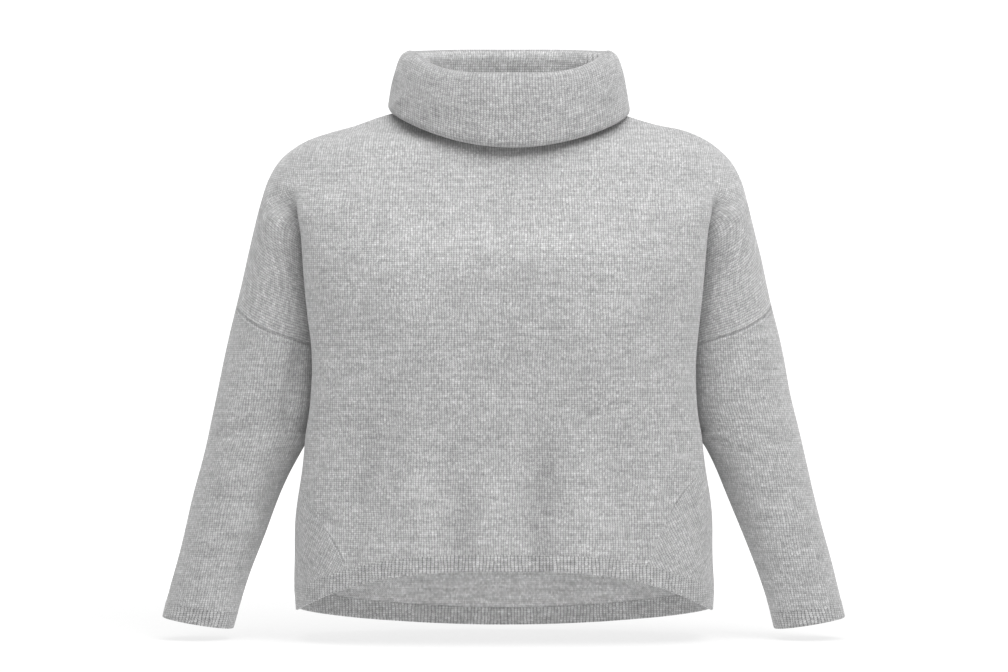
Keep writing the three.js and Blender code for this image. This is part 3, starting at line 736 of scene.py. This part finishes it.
# Soft creases that lie over every piece alike, besides the folds above. Each is a trough
# in the front or back view, with its middle, direction, length, half-width and depth. A
# negative depth is a ridge.
CREASES = rows("""
face x z angle length width depth
-1 -4 -160 1 150 42 -4
-1 0 -192 0 140 15 1.6
-1 -106 -184 0 44 36 -3.2
-1 102 -188 0 46 38 -3.6
-1 40 -428 88 82 13 6.5
-1 -150 -368 84 50 12 4.5
-1 -46 -450 87 46 12 4
-1 -12 -450 88 52 16 -3
-1 -152 -214 -60 52 8 1.2
-1 150 -226 57 44 7 1.1
-1 -176 -262 -72 34 6 0.9
-1 186 -250 66 30 6 0.8
-1 -86 -445 82 46 18 -3.5
-1 96 -430 84 70 22 -3.5
-1 -20 -330 84 60 20 1
-1 96 -345 -80 50 16 1.1
-1 -120 -330 76 46 15 1
-1 -204 -452 32 7 3 1.2
-1 -222 -482 75 22 3.5 -1.2
-1 159 -462 76 24 4.5 -1
-1 -234 -300 78 58 9 4
-1 206 -440 -70 18 5 0.9
-1 -300 -345 20 26 6 1.7
-1 -314 -420 15 24 6 1.7
-1 -330 -478 12 22 6 1.6
-1 -348 -520 10 20 5 1.3
-1 302 -352 -18 26 6 1.7
-1 318 -402 -14 24 6 1.5
-1 330 -462 -12 22 6 1.7
-1 346 -508 -10 20 5 1.4
1 -306 -372 -16 26 6 1.6
1 -326 -446 -12 22 6 1.5
1 308 -366 16 26 6 1.6
1 328 -440 12 22 6 1.6
1 128 -190 -58 60 9 1.3
1 -116 -204 60 56 8 1.2
1 16 -150 4 110 15 1.3
1 -34 -400 86 90 14 5.5
1 120 -410 80 60 13 4.5
1 66 -440 88 60 17 -3
1 -92 -430 86 60 18 -3.2
1 -70 -318 82 60 17 1.2
1 84 -336 -78 48 14 1.1
1 176 -286 -74 36 7 0.9
1 -188 -300 70 32 6 0.9
1 40 -505 84 34 16 -1.4
1 -108 -494 -84 30 15 -1.3
""")
COLLAR_CREASES = rows("""
face x z angle length width depth
-1 -112 20 42 15 6 1.8
-1 112 22 -4 14 4 1.5
-1 -99 66 62 6 3 2.2
-1 -46 14 8 44 7 0.9
-1 52 4 -7 40 6 0.9
-1 10 -20 3 55 5 0.7
1 52 34 8 46 7 1.1
1 -58 48 -9 40 6 1
1 118 40 70 16 6 1.3
1 -120 34 -66 18 6 1.3
""")
COLLAR_PLEATS = {
    "x": 98, "reach": 9, "spacing": 5.2, "depth": 1.4,
    "bottom": 38, "top": 80, "fade": 10, "behind": 8,
}

GROUPS = {
    "front_panel": (panel_grids(-1), "knit"),
    "back_panel": (panel_grids(1), "knit"),
    "side_gusset_left": (gusset_grids(1), "knit"),
    "side_gusset_right": (gusset_grids(-1), "knit"),
    "sleeve_left": (sleeve_grids(1), "knit"),
    "sleeve_right": (sleeve_grids(-1), "knit"),
    "hem_front": (hem_grids(-1), "band_knit"),
    "hem_back": (hem_grids(1), "band_knit"),
    "cuff_left": (cuff_grids(1), "band_knit"),
    "cuff_right": (cuff_grids(-1), "band_knit"),
}

# Points closer than a hundredth of a millimetre are one. The shift keeps round values off
# the borders between the welding cells.
WELD = 100
WELD_SHIFT = 0.0031


def weld(grids):
    """Points, their knit coordinates and the cells of one piece, each point once."""
    flat = np.concatenate([points.reshape(-1, 3) for points, _ in grids])
    knit = np.concatenate([values.reshape(-1, 2) for _, values in grids])
    keys = np.floor((flat + WELD_SHIFT) * WELD + 0.5).astype(np.int64)
    _, first, index = np.unique(keys, axis=0, return_index=True, return_inverse=True)
    index = index.reshape(-1)
    cells, cell_knit, start = [], [], 0
    for points, _ in grids:
        count = points.shape[0] * points.shape[1]
        local = start + np.arange(count).reshape(points.shape[:2])
        quads = np.stack([local[:-1, :-1], local[1:, :-1], local[1:, 1:], local[:-1, 1:]], -1)
        cells.append(quads.reshape(-1, 4))
        start += count
    cells = np.concatenate(cells)
    corner = index[cells]
    return flat[first], keys[first], corner, knit[cells], knit[first]


def face_normals(points, corner):
    a, b, c, d = (points[corner[:, i]] for i in range(4))
    return np.cross(c - a, d - b)


def boundary(corner):
    """Directed edges that only one cell has."""
    pairs = np.concatenate([corner[:, [i, (i + 1) % 4]] for i in range(4)])
    pairs = pairs[pairs[:, 0] != pairs[:, 1]]
    size = corner.max() + 1
    there = pairs[:, 0] * size + pairs[:, 1]
    back = pairs[:, 1] * size + pairs[:, 0]
    return pairs[~np.isin(there, back)]


# Points whose distances are worked out at one time
BATCH = 1500


def distance_to_edges(points, starts, ends):
    nearest = np.zeros(len(points))
    span = ends - starts
    squared = np.maximum((span**2).sum(1), TINY)
    for i in range(0, len(points), BATCH):
        offset = points[i : i + BATCH, None] - starts[None]
        share = np.clip((offset * span).sum(-1) / squared, 0, 1)
        gap = np.linalg.norm(offset - share[..., None] * span, axis=-1)
        nearest[i : i + BATCH] = gap.min(1)
    return nearest


# For each kind of seam its rounding, its gap, and how far off its painted dark line and painted
# pale ridge lie
FAR_OFF = 50
SEAMS = rows("""
bulge gap away
0.05 0.02 50
0.15 0.06 0.6
0.25 0.06 0
""")
KNITTED_ON, GUSSET_SEWN, SEWN = 0, 1, 2
NO_SEAM = -1
# A rim's inset grows at a corner of its sheet, but no more than to twice its size
SHARPEST_CORNER = 0.5
# Where the gusset seams' painted shade and highlight show most, by side: middle, half-length and
# how much they fade
GUSSET_LINE = rows("""
side z reach fade
-1 -470 20 2.4
1 -413 17 1.6
""")


def gusset_fade(points):
    fade = np.zeros(len(points))
    for line in each(GUSSET_LINE):
        away = 1 - np.exp(-(((points[:, 2] - line["z"]) / line["reach"]) ** 4))
        fade += np.where(points[:, 0] * line["side"] > 0, line["fade"] * away, 0)
    return fade


def seam_distance(points, sheet_points, edges, kinds):
    """Distance from the nearest sewn seam, more where the seam's painted shade and highlight show
    less.
    """
    nearest = np.full(len(points), float(FAR_OFF))
    for kind in (GUSSET_SEWN, SEWN):
        chosen = edges[kinds[edges].min(1) == kind]
        if len(chosen):
            starts, ends = sheet_points[chosen[:, 0]], sheet_points[chosen[:, 1]]
            gap = distance_to_edges(points, starts, ends) + SEAMS["away"][kind]
            gap = gap + (gusset_fade(points) if kind == GUSSET_SEWN else 0)
            nearest = np.minimum(nearest, gap)
    return nearest


def border_frame(points, normals, edges):
    """The border's points, the way into the sheet there, and how far a corner narrows it."""
    along = unit(points[edges[:, 1]] - points[edges[:, 0]])
    inward, first = np.zeros_like(points), np.zeros_like(points)
    for end in (0, 1):
        direction = unit(np.cross(normals[edges[:, end]], along))
        np.add.at(inward, edges[:, end], direction)
        first[edges[:, end]] = direction
    border = np.unique(edges)
    inward[border] = unit(inward[border])
    narrowing = np.ones(len(points))
    narrowing[border] = np.maximum((inward[border] * first[border]).sum(1), SHARPEST_CORNER)
    return border, inward, narrowing


def shell_faces(sheet, edges, levels):
    """Corners, knit coordinates and side, 0 outside and 1 inside, of each face of a shell."""
    _, _, corner, corner_knit, knit = sheet
    quads = [corner, corner[:, ::-1] + len(knit)]
    quad_knit = [corner_knit, corner_knit[:, ::-1]]
    start, end = edges[:, 0], edges[:, 1]
    for upper, lower in zip(levels, levels[1:]):
        quads.append(np.stack([upper[end], upper[start], lower[start], lower[end]], -1))
        quad_knit.append(np.stack([knit[end], knit[start], knit[start], knit[end]], 1))
    inside = np.concatenate([np.full(len(q), int(i == 1)) for i, q in enumerate(quads)])
    quads, quad_knit = np.concatenate(quads), np.concatenate(quad_knit)
    faces, uvs, sides = [], [], []
    for quad, uv, side in zip(quads.tolist(), quad_knit.tolist(), inside.tolist()):
        kept = [i for i in range(4) if quad[i] != quad[(i + 1) % 4]]
        if len(kept) >= 3 and len({quad[i] for i in kept}) == len(kept):
            faces.append([quad[i] for i in kept])
            uvs.extend(uv[i] for i in kept)
            sides.append(side)
    return faces, uvs, sides


def new_piece(name, vertices, normals, shell, values):
    """An object of a shell, with its knit coordinates and a value a point for each name."""
    faces, uvs, sides = shell
    mesh = bpy.data.meshes.new(name)
    mesh.from_pydata((vertices * METRE).tolist(), [], faces)
    layer = mesh.uv_layers.new(name="knit")
    layer.data.foreach_set("uv", (np.array(uvs) * METRE).ravel())
    mesh.polygons.foreach_set("use_smooth", [True] * len(faces))
    mesh.polygons.foreach_set("material_index", sides)
    for key, data in values.items():
        attribute = mesh.attributes.new(key, "FLOAT", "POINT")
        attribute.data.foreach_set("value", data)
    mesh.update()
    mesh.normals_split_custom_set_from_vertices(normals.tolist())
    piece = bpy.data.objects.new(name, mesh)
    bpy.context.scene.collection.objects.link(piece)
    return piece


def cloth_mesh(name, sheet, normals, kinds, crease_shades, thickness, proud):
    """A closed thin shell with round rims on one welded sheet."""
    points, edges = sheet[0], boundary(sheet[2])
    border, inward, narrowing = border_frame(points, normals, edges)
    bulge = np.where(kinds < 0, thickness / 2 * RIM_ROUNDNESS, SEAMS["bulge"][kinds])
    gap = np.where(kinds < 0, 0, SEAMS["gap"][kinds])
    inset = np.zeros(len(points))
    inset[border] = (bulge + gap / 2)[border] / narrowing[border]
    place = points + inward * inset[:, None]
    outer = place + normals * proud
    inner = place + normals * (proud - thickness)
    middle = (outer + inner) / 2
    count = len(points)
    rim_index = np.full(count, -1)
    rim_index[border] = np.arange(len(border))
    rings, vertices, directions = [], [outer, inner], [normals, -normals]
    half, swell = thickness / 2, bulge[border][:, None]
    for step in range(1, RIM_STEPS + 1):
        angle = math.pi * step / (RIM_STEPS + 1)
        up, out = normals[border] * math.cos(angle), inward[border] * math.sin(angle)
        vertices.append(middle[border] + up * half - out * swell)
        directions.append(up / half - out / swell)
        rings.append(2 * count + (step - 1) * len(border) + rim_index)
    vertices, directions = np.concatenate(vertices), unit(np.concatenate(directions))
    levels = [np.arange(count), *rings, count + np.arange(count)]
    distances = seam_distance(place, points, edges, kinds) * METRE
    # The seam distance drives the painted seam highlight and shade; the crease share drives the
    # painted crease shade and light
    values = {
        key: np.concatenate([data, data, np.tile(data[border], RIM_STEPS)])
        for key, data in (("seam_gap", distances), ("painted_crease_shade", crease_shades))
    }
    return new_piece(name, vertices, directions, shell_faces(sheet, edges, levels), values)


def waves(points):
    """Slight unevenness of hanging cloth, the same wherever two pieces meet.

    Each row is a height times waves, which have their lengths in mm and their starts.
    """
    x, y, z = points.T
    return (
        0.55 * np.sin(x / 23 + z / 61 + 0.7) * np.sin(z / 37 - x / 90 + y / 70)
        + 0.45 * np.sin(x / 13.5 - z / 48 + 2.1) * np.sin(z / 29 + x / 55 + 1.3)
        + 0.35 * np.sin(z / 17 + y / 31 + x / 80)
    )


# Where creases fade at the sides, beside the ridge's plane; the crease depth that gets the full
# painted shade, and how far ridges that stand out are painted lighter
RIDGE_PLANE = 5
CREASE_START = 2
CREASE_FADE = 12
FULL_SHADE_DEPTH = 6
CREASE_LIGHT_LIMIT = -0.5


def crease_depth(points, creases):
    x, y, z = points.T
    depth = np.zeros(len(points))
    for crease in each(creases):
        lean = math.radians(crease["angle"])
        right, up = x - crease["x"], z - crease["z"]
        along = (right * math.cos(lean) + up * math.sin(lean)) / crease["length"]
        across = (up * math.cos(lean) - right * math.sin(lean)) / crease["width"]
        facing = ease((crease["face"] * (y - RIDGE_PLANE) - CREASE_START) / CREASE_FADE)
        depth += crease["depth"] * facing * np.exp(-(across**2) - along**4)
    return depth


def crease_shade_share(points, creases):
    """How deep in a crease each point lies, at 1 for the deepest; below 0 it stands out. It sets
    the painted shade in creases and the painted light on ridges.
    """
    return np.clip(crease_depth(points, creases) / FULL_SHADE_DEPTH, CREASE_LIGHT_LIMIT, 1)


def pleat_height(points):
    """Small gathers in the collar's inner layer, at the wearer's left."""
    x, y, z = points.T
    pleats = COLLAR_PLEATS
    near = np.exp(-(((x - pleats["x"]) / pleats["reach"]) ** 2)) * ease(y / pleats["behind"])
    near = near * ease((z - pleats["bottom"]) / pleats["fade"])
    near = near * ease((pleats["top"] - z) / pleats["fade"])
    return pleats["depth"] * near * np.cos(2 * np.pi * x / pleats["spacing"])


# Knit materials. Lengths are in metres here.

class Graph:
    """Short ways to add nodes to one material."""

    def __init__(self, name):
        self.material = bpy.data.materials.new(name)
        self.material.use_nodes = True
        self.tree = self.material.node_tree
        self.shader = self.tree.nodes["Principled BSDF"]

    def fill(self, node, values):
        """Gives a node's inputs, by name or number, their values or links."""
        for key, value in values.items():
            if isinstance(value, bpy.types.NodeSocket):
                self.tree.links.new(value, node.inputs[key])
            else:
                node.inputs[key].default_value = value
        return node

    def node(self, kind, *values, **named_values):
        node = self.tree.nodes.new(kind)
        return self.fill(node, {**dict(enumerate(values)), **named_values})

    def math(self, operation, *values):
        node = self.node("ShaderNodeMath", *values)
        node.operation = operation
        return node.outputs[0]

    def times(self, first, second):
        return self.math("MULTIPLY", first, second)

    def spread(self, value, low, high):
        """A 0 to 1 value as one from low to high."""
        return self.math("MULTIPLY_ADD", value, high - low, low)

    def vector(self, *values):
        return self.node("ShaderNodeCombineXYZ", *values).outputs[0]

    def noise(self, vector, scale, detail, roughness=0.5):
        given = {"Vector": vector, "Scale": scale, "Detail": detail, "Roughness": roughness}
        return self.node("ShaderNodeTexNoise", **given).outputs[0]

    def cells(self, across, along, cells_across, cells_along, layer, detail, roughness):
        """Noise with its own number of cells a metre each way."""
        across, along = self.times(across, cells_across), self.times(along, cells_along)
        return self.noise(self.vector(across, along, layer), 1.0, detail, roughness)

    def random(self, vector):
        return self.node("ShaderNodeTexWhiteNoise", vector).outputs["Value"]

    def attribute(self, name):
        node = self.tree.nodes.new("ShaderNodeAttribute")
        node.attribute_name = name
        return node.outputs["Fac"]

    def place(self, uv_map):
        """The two coordinates of a UV map."""
        node = self.tree.nodes.new("ShaderNodeUVMap")
        node.uv_map = uv_map
        return self.node("ShaderNodeSeparateXYZ", node.outputs[0]).outputs[:2]

    def bump(self, **given):
        return self.node("ShaderNodeBump", **given).outputs[0]

    def finished(self, values):
        self.fill(self.shader, values)
        return self.material


# A stitch's form, in shares of a wale and of a row. On the reverse the loops lie across.
WALE_WANDER = 0.8
LEG_SLANT = -0.45
WALE_ROUNDNESS = 2.6
FURROW_NARROWNESS = 4.0
FURROW_DEPTH = 0.3
LOWEST_LOOP = 0.3
LOOP_SWING = 0.22
REVERSE_LOOP_SHARE = 0.75
LEG_ROWS = 0.6
# Noise: cells a metre across and along the wales, its layer, its detail and roughness
WANDER = (60.0, 26.0, 0.0, 1.0, 0.5)
STREAK = (28.0, 230.0, 0.0, 2.0, 0.6)
FIBRE = (1100.0, 430.0, 3.0, 1.0, 0.5)
# How much each pattern lightens and darkens the yarn
REACH = {"stitch": 0.15, "leg": 0.15, "streak": 0.34, "fibre": 0.3, "cloud": 0.07}
# Painted light on the stitches' crowns, as a share of the painted shade between them
PAINTED_CROWN_LIGHT = 0.2
# Painted shade in the creases, at the full crease share
PAINTED_CREASE_SHADE = -0.15
# The pale ridge beside a seam, in millimetres from it, painted lighter, and the broken dark line
# in the seam, painted shade
RIDGE_AWAY = 3.0
RIDGE_WIDTH = 1.6
PAINTED_RIDGE_LIGHT = 0.13
SEAM_SHADE_WEAKEST = 0.1
SEAM_SHADE_DARKEST = -0.6


def stitch_cells(g, across, along, wale, course, reverse):
    """The wale and the row at a place, and the share from the wale's middle to its side."""
    wander = g.spread(g.cells(across, along, *WANDER), -WALE_WANDER, WALE_WANDER)
    wales = g.math("ADD", g.math("DIVIDE", across, wale), wander)
    side = g.math("ABSOLUTE", g.spread(g.math("FRACT", wales), -1.0, 1.0))
    row = g.math("DIVIDE", along, course)
    if reverse:
        swing = g.math("COSINE", g.times(wales, 2 * math.pi))
        return wales, g.math("MULTIPLY_ADD", swing, LOOP_SWING, row), side
    return wales, g.math("MULTIPLY_ADD", side, LEG_SLANT, row), side


def stitch_height(g, row, side, reverse):
    """From 0 between the stitches to 1 on top."""
    loop = g.math("SINE", g.times(g.math("FRACT", row), math.pi))
    rib = g.math("SUBTRACT", 1.0, g.math("POWER", side, WALE_ROUNDNESS))
    furrow = g.math("POWER", g.math("SUBTRACT", 1.0, side), FURROW_NARROWNESS)
    rib = g.times(rib, g.math("SUBTRACT", 1.0, g.times(furrow, FURROW_DEPTH)))
    if reverse:
        rib = g.times(rib, 1 - REVERSE_LOOP_SHARE)
        return g.math("MULTIPLY_ADD", loop, REVERSE_LOOP_SHARE, rib)
    return g.times(rib, g.spread(loop, LOWEST_LOOP, 1.0))


def yarn_patterns(g, across, along, wales, row):
    """Melange yarn: stitches and legs of their own tone, streaks, fibres and clouds."""
    leg_rows = g.math("FLOOR", g.times(row, LEG_ROWS))
    return {
        "stitch": g.random(g.vector(g.math("FLOOR", wales), g.math("FLOOR", row), 0.0)),
        "leg": g.random(g.vector(g.math("FLOOR", g.times(wales, 2.0)), leg_rows, 5.0)),
        "streak": g.cells(across, along, *STREAK),
        "fibre": g.cells(across, along, *FIBRE),
        "cloud": g.noise(g.vector(across, along, 7.0), 17.0, 2.0),
    }


def painted_seam_light(g, across, along):
    """The ridge beside a seam, for its bump and its painted highlight, and the painted shade of
    the line in it.
    """
    near = g.times(g.attribute("seam_gap"), 1000.0)
    off = g.math("DIVIDE", g.math("SUBTRACT", near, RIDGE_AWAY), RIDGE_WIDTH)
    ridge = g.math("EXPONENT", g.times(g.times(off, off), -1.0))
    line = g.math("EXPONENT", g.times(g.times(near, near), -0.5))
    broken = g.noise(g.vector(across, along, 11.0), 90.0, 1.0)
    line = g.times(line, g.spread(broken, SEAM_SHADE_WEAKEST, SEAM_SHADE_DARKEST))
    return ridge, g.math("ADD", line, 1.0)


def knit_material(name, level, painted_stitch_shade, band=False, reverse=False):
    g = Graph(name)
    across, along = g.place("knit")
    wale, course = (BAND_WALE, BAND_COURSE) if band else (WALE, COURSE)
    wales, row, side = stitch_cells(g, across, along, wale, course, reverse)
    height = stitch_height(g, row, side, reverse)
    patterns = yarn_patterns(g, across, along, wales, row)
    ridge, painted_seam_shade = painted_seam_light(g, across, along)
    # painted shade between the stitches and painted light on their crowns, from the stitch height
    between = g.math("POWER", g.math("SUBTRACT", 1.0, height), 2.0)
    shade = g.spread(between, 1.0 + painted_stitch_shade * PAINTED_CROWN_LIGHT, 1.0 - painted_stitch_shade)
    # painted shade in the creases, painted light on the ridges that stand out
    shade = g.times(shade, g.math("MULTIPLY_ADD", g.attribute("painted_crease_shade"), PAINTED_CREASE_SHADE, 1.0))
    for key, reach in REACH.items():
        shade = g.times(shade, g.spread(patterns[key], 1.0 - reach, 1.0 + reach))
    # painted highlight on the seam's ridge, painted shade in the seam's line
    shade = g.times(shade, g.math("MULTIPLY_ADD", ridge, PAINTED_RIDGE_LIGHT, 1.0))
    shade = g.times(shade, painted_seam_shade)
    tone = (level, level, level + BLUE_TINGE)
    colour = g.node("ShaderNodeCombineColor", *(g.times(shade, part) for part in tone))
    rough = g.math("MULTIPLY_ADD", patterns["fibre"], 0.25, height)
    stitches = g.bump(Height=rough, Strength=0.55, Distance=0.0009)
    normal = g.bump(Height=ridge, Strength=0.8, Distance=0.0012, Normal=stitches)
    return g.finished({
        "Base Color": colour.outputs[0], "Normal": normal, "Roughness": 0.95,
        "Specular IOR Level": 0.15, "Sheen Weight": 0.5, "Sheen Roughness": 0.6,
    })


WALE, COURSE = 0.0028, 0.0022
BAND_WALE, BAND_COURSE = 0.0038, 0.0024
BLUE_TINGE = 0.002
# For each fabric its outer and its inner side, each with a tone and how dark the painted shade in
# its grooves is.
# The inner sides' lighter tones are partly painted light for light that reaches inside the body
# and bands.
# The collar's second tone, for its part from the neckline up to the fold, is a lighter copy of
# its face: painted light.
FABRICS = {
    "knit": [
        knit_material("knit_face", 0.455, 0.62),
        # The reverse's own look, with a lighter tone that is partly painted light for light
        # reaching inside the body
        knit_material("knit_reverse", 0.58, 0.4, reverse=True),
    ],
    "collar_knit": [
        knit_material("collar_face", 0.4, 0.6),
        # A lighter copy of the collar's face: painted light inside the neck, from the neckline up
        # to the fold
        knit_material("collar_inside_painted_light", 0.52, 0.6),
    ],
    "band_knit": [
        knit_material("band_face", 0.43, 0.8, band=True),
        # A lighter copy of the band's face: painted light for the lit inside of the bands and
        # cuffs
        knit_material("band_reverse", 0.51, 0.7, band=True),
    ],
}


def finish_piece(piece, fabric):
    for material in FABRICS[fabric]:
        piece.data.materials.append(material)
    node = piece.name.removesuffix("_cloth")
    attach(piece, "root")
    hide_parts(node)


def shared_places(sheets):
    """For each piece, the number of each of its points among all the points."""
    every = np.concatenate([sheet[1] for sheet in sheets.values()])
    unique, index = np.unique(every, axis=0, return_inverse=True)
    index, start, places = index.reshape(-1), 0, {}
    for name, sheet in sheets.items():
        places[name] = index[start : start + len(sheet[1])]
        start += len(sheet[1])
    return places, len(unique)


def shared_normals(sheets, places, count):
    """Normals that pieces have in common where they meet."""
    sums = np.zeros((count, 3))
    for name, sheet in sheets.items():
        normals = face_normals(sheet[0], sheet[2])
        for i in range(4):
            np.add.at(sums, places[name][sheet[2][:, i]], normals)
    return unit(sums)


def seam_kinds(places, count):
    """The kind of seam at each point, or NO_SEAM."""
    uses, kinds = np.zeros(count, int), np.full(count, SEWN)
    for name, place in places.items():
        uses[place] += 1
        if "gusset" in name:
            kinds[place] = np.minimum(kinds[place], GUSSET_SEWN)
        if GROUPS[name][1] == "band_knit":
            kinds[place] = KNITTED_ON
    return np.where(uses > 1, kinds, NO_SEAM)


def lifted(sheets, places, count, lift):
    """Sheets moved along their normals, and their new normals."""
    normals = shared_normals(sheets, places, count)
    moved = {
        name: (sheet[0] + normals[places[name]] * lift(sheet[0])[:, None], *sheet[1:])
        for name, sheet in sheets.items()
    }
    return moved, shared_normals(moved, places, count)


def cloth_lift(points):
    return waves(points) - crease_depth(points, CREASES)


def collar_lift(points):
    return pleat_height(points) - crease_depth(points, COLLAR_CREASES)


def build_pieces():
    sheets = {name: weld(grids) for name, (grids, _) in GROUPS.items()}
    places, count = shared_places(sheets)
    kinds = seam_kinds(places, count)
    sheets, normals = lifted(sheets, places, count, cloth_lift)
    for name, sheet in sheets.items():
        slot, place = GROUPS[name][1], places[name]
        wall, proud = (BAND_WALL, BAND_PROUD) if slot == "band_knit" else (WALL, 0)
        # painted shade for the creases, painted light for the ridges
        crease_shades = crease_shade_share(sheet[0], CREASES)
        given = normals[place], kinds[place], crease_shades, wall, proud
        finish_piece(cloth_mesh(name + "_cloth", sheet, *given), slot)


def build_collar():
    """The collar, whose cloth from the neckline up to the fold takes a lighter tone, painted
    light for the lit inside of the neck.
    """
    sheets = {"collar": weld(collar_grids())}
    places, count = shared_places(sheets)
    sheets, normals = lifted(sheets, places, count, collar_lift)
    place, sheet = places["collar"], sheets["collar"]
    # painted shade for the collar's creases
    free, crease_shades = np.full(len(place), NO_SEAM), crease_shade_share(sheet[0], COLLAR_CREASES)
    piece = cloth_mesh("collar_cloth", sheet, normals[place], free, crease_shades, WALL, WALL / 2)
    knit = piece.data.uv_layers["knit"].data
    for face in piece.data.polygons:
        # faces from the neckline up to the fold take the painted-light copy
        face.material_index = int(knit[face.loop_start].uv[1] < COLLAR_FOLD * METRE)
    finish_piece(piece, "collar_knit")


build_pieces()
build_collar()


# Camera, floor and light, in metres

CAMERA = (0, -4.0, -0.2398)
LENS = 128.7
SENSOR_WIDTH = 36
FLOOR = -0.5755
STAGE_TONE = (0.24, 0.24, 0.24, 1)
FLOOR_GLOW = 0.785
BACKDROP_GLOW = 1.0
WORLD_LIGHT = 0.25
WHITE = (1, 1, 1, 1)

camera_data = bpy.data.cameras.new("camera")
camera_data.lens = LENS
camera_data.sensor_width = SENSOR_WIDTH
camera = bpy.data.objects.new("camera", camera_data)
camera.location = CAMERA
camera.rotation_euler = (math.radians(90), 0, 0)
bpy.context.scene.collection.objects.link(camera)
bpy.context.scene.camera = camera


def stage_material(name, glow):
    return Graph(name).finished({
        "Base Color": STAGE_TONE, "Roughness": 1.0, "Specular IOR Level": 0.0,
        "Emission Color": WHITE, "Emission Strength": glow,
    })


def build_stage():
    """A pale floor that curves up into a lighter backdrop."""
    near, far, bend, bend_steps, back, high, wide = -12.0, 0.6, 1.5, 12, 8.0, 6.0, 12.0
    profile = [(near, FLOOR), (far, FLOOR), (back - bend, FLOOR)]
    for step in range(1, bend_steps + 1):
        angle = math.pi / 2 * step / bend_steps
        rise = bend * (1 - math.cos(angle))
        profile.append((back - bend + bend * math.sin(angle), FLOOR + rise))
    profile.append((back, high))
    vertices = [(x, y, z) for y, z in profile for x in (-wide, wide)]
    faces = [(2 * i, 2 * i + 1, 2 * i + 3, 2 * i + 2) for i in range(len(profile) - 1)]
    mesh = bpy.data.meshes.new("backdrop")
    mesh.from_pydata(vertices, [], faces)
    mesh.polygons.foreach_set("use_smooth", [True] * len(faces))
    mesh.polygons.foreach_set("material_index", [0] + [1] * (len(faces) - 1))
    mesh.materials.append(stage_material("floor_white", FLOOR_GLOW))
    mesh.materials.append(stage_material("backdrop_white", BACKDROP_GLOW))
    stage = bpy.data.objects.new("backdrop", mesh)
    bpy.context.scene.collection.objects.link(stage)


def soft_light(name, place, target, size, power):
    data = bpy.data.lights.new(name, "AREA")
    data.shape = "RECTANGLE"
    data.size, data.size_y = size
    data.energy = power
    light = bpy.data.objects.new(name, data)
    light.location = place
    light.rotation_euler = (Vector(target) - Vector(place)).to_track_quat("-Z", "Y").to_euler()
    bpy.context.scene.collection.objects.link(light)


build_stage()
soft_light("top", (0, -0.5, 2.6), (0, 0, -0.2), (2.6, 2.2), 53)
soft_light("key", (1.5, -1.8, 2.4), (0, 0, -0.2), (2.0, 1.6), 46)
soft_light("high", (0, -2.2, 2.0), (0, 0, -0.2), (2.4, 1.4), 22)
soft_light("low", (0, -3.6, -0.38), (0, 0, -0.5), (3.0, 0.3), 17)
world = bpy.data.worlds.new("studio")
world.use_nodes = True
background = world.node_tree.nodes["Background"]
background.inputs["Color"].default_value = WHITE
background.inputs["Strength"].default_value = WORLD_LIGHT
bpy.context.scene.world = world
bpy.context.scene.view_settings.view_transform = "Standard"
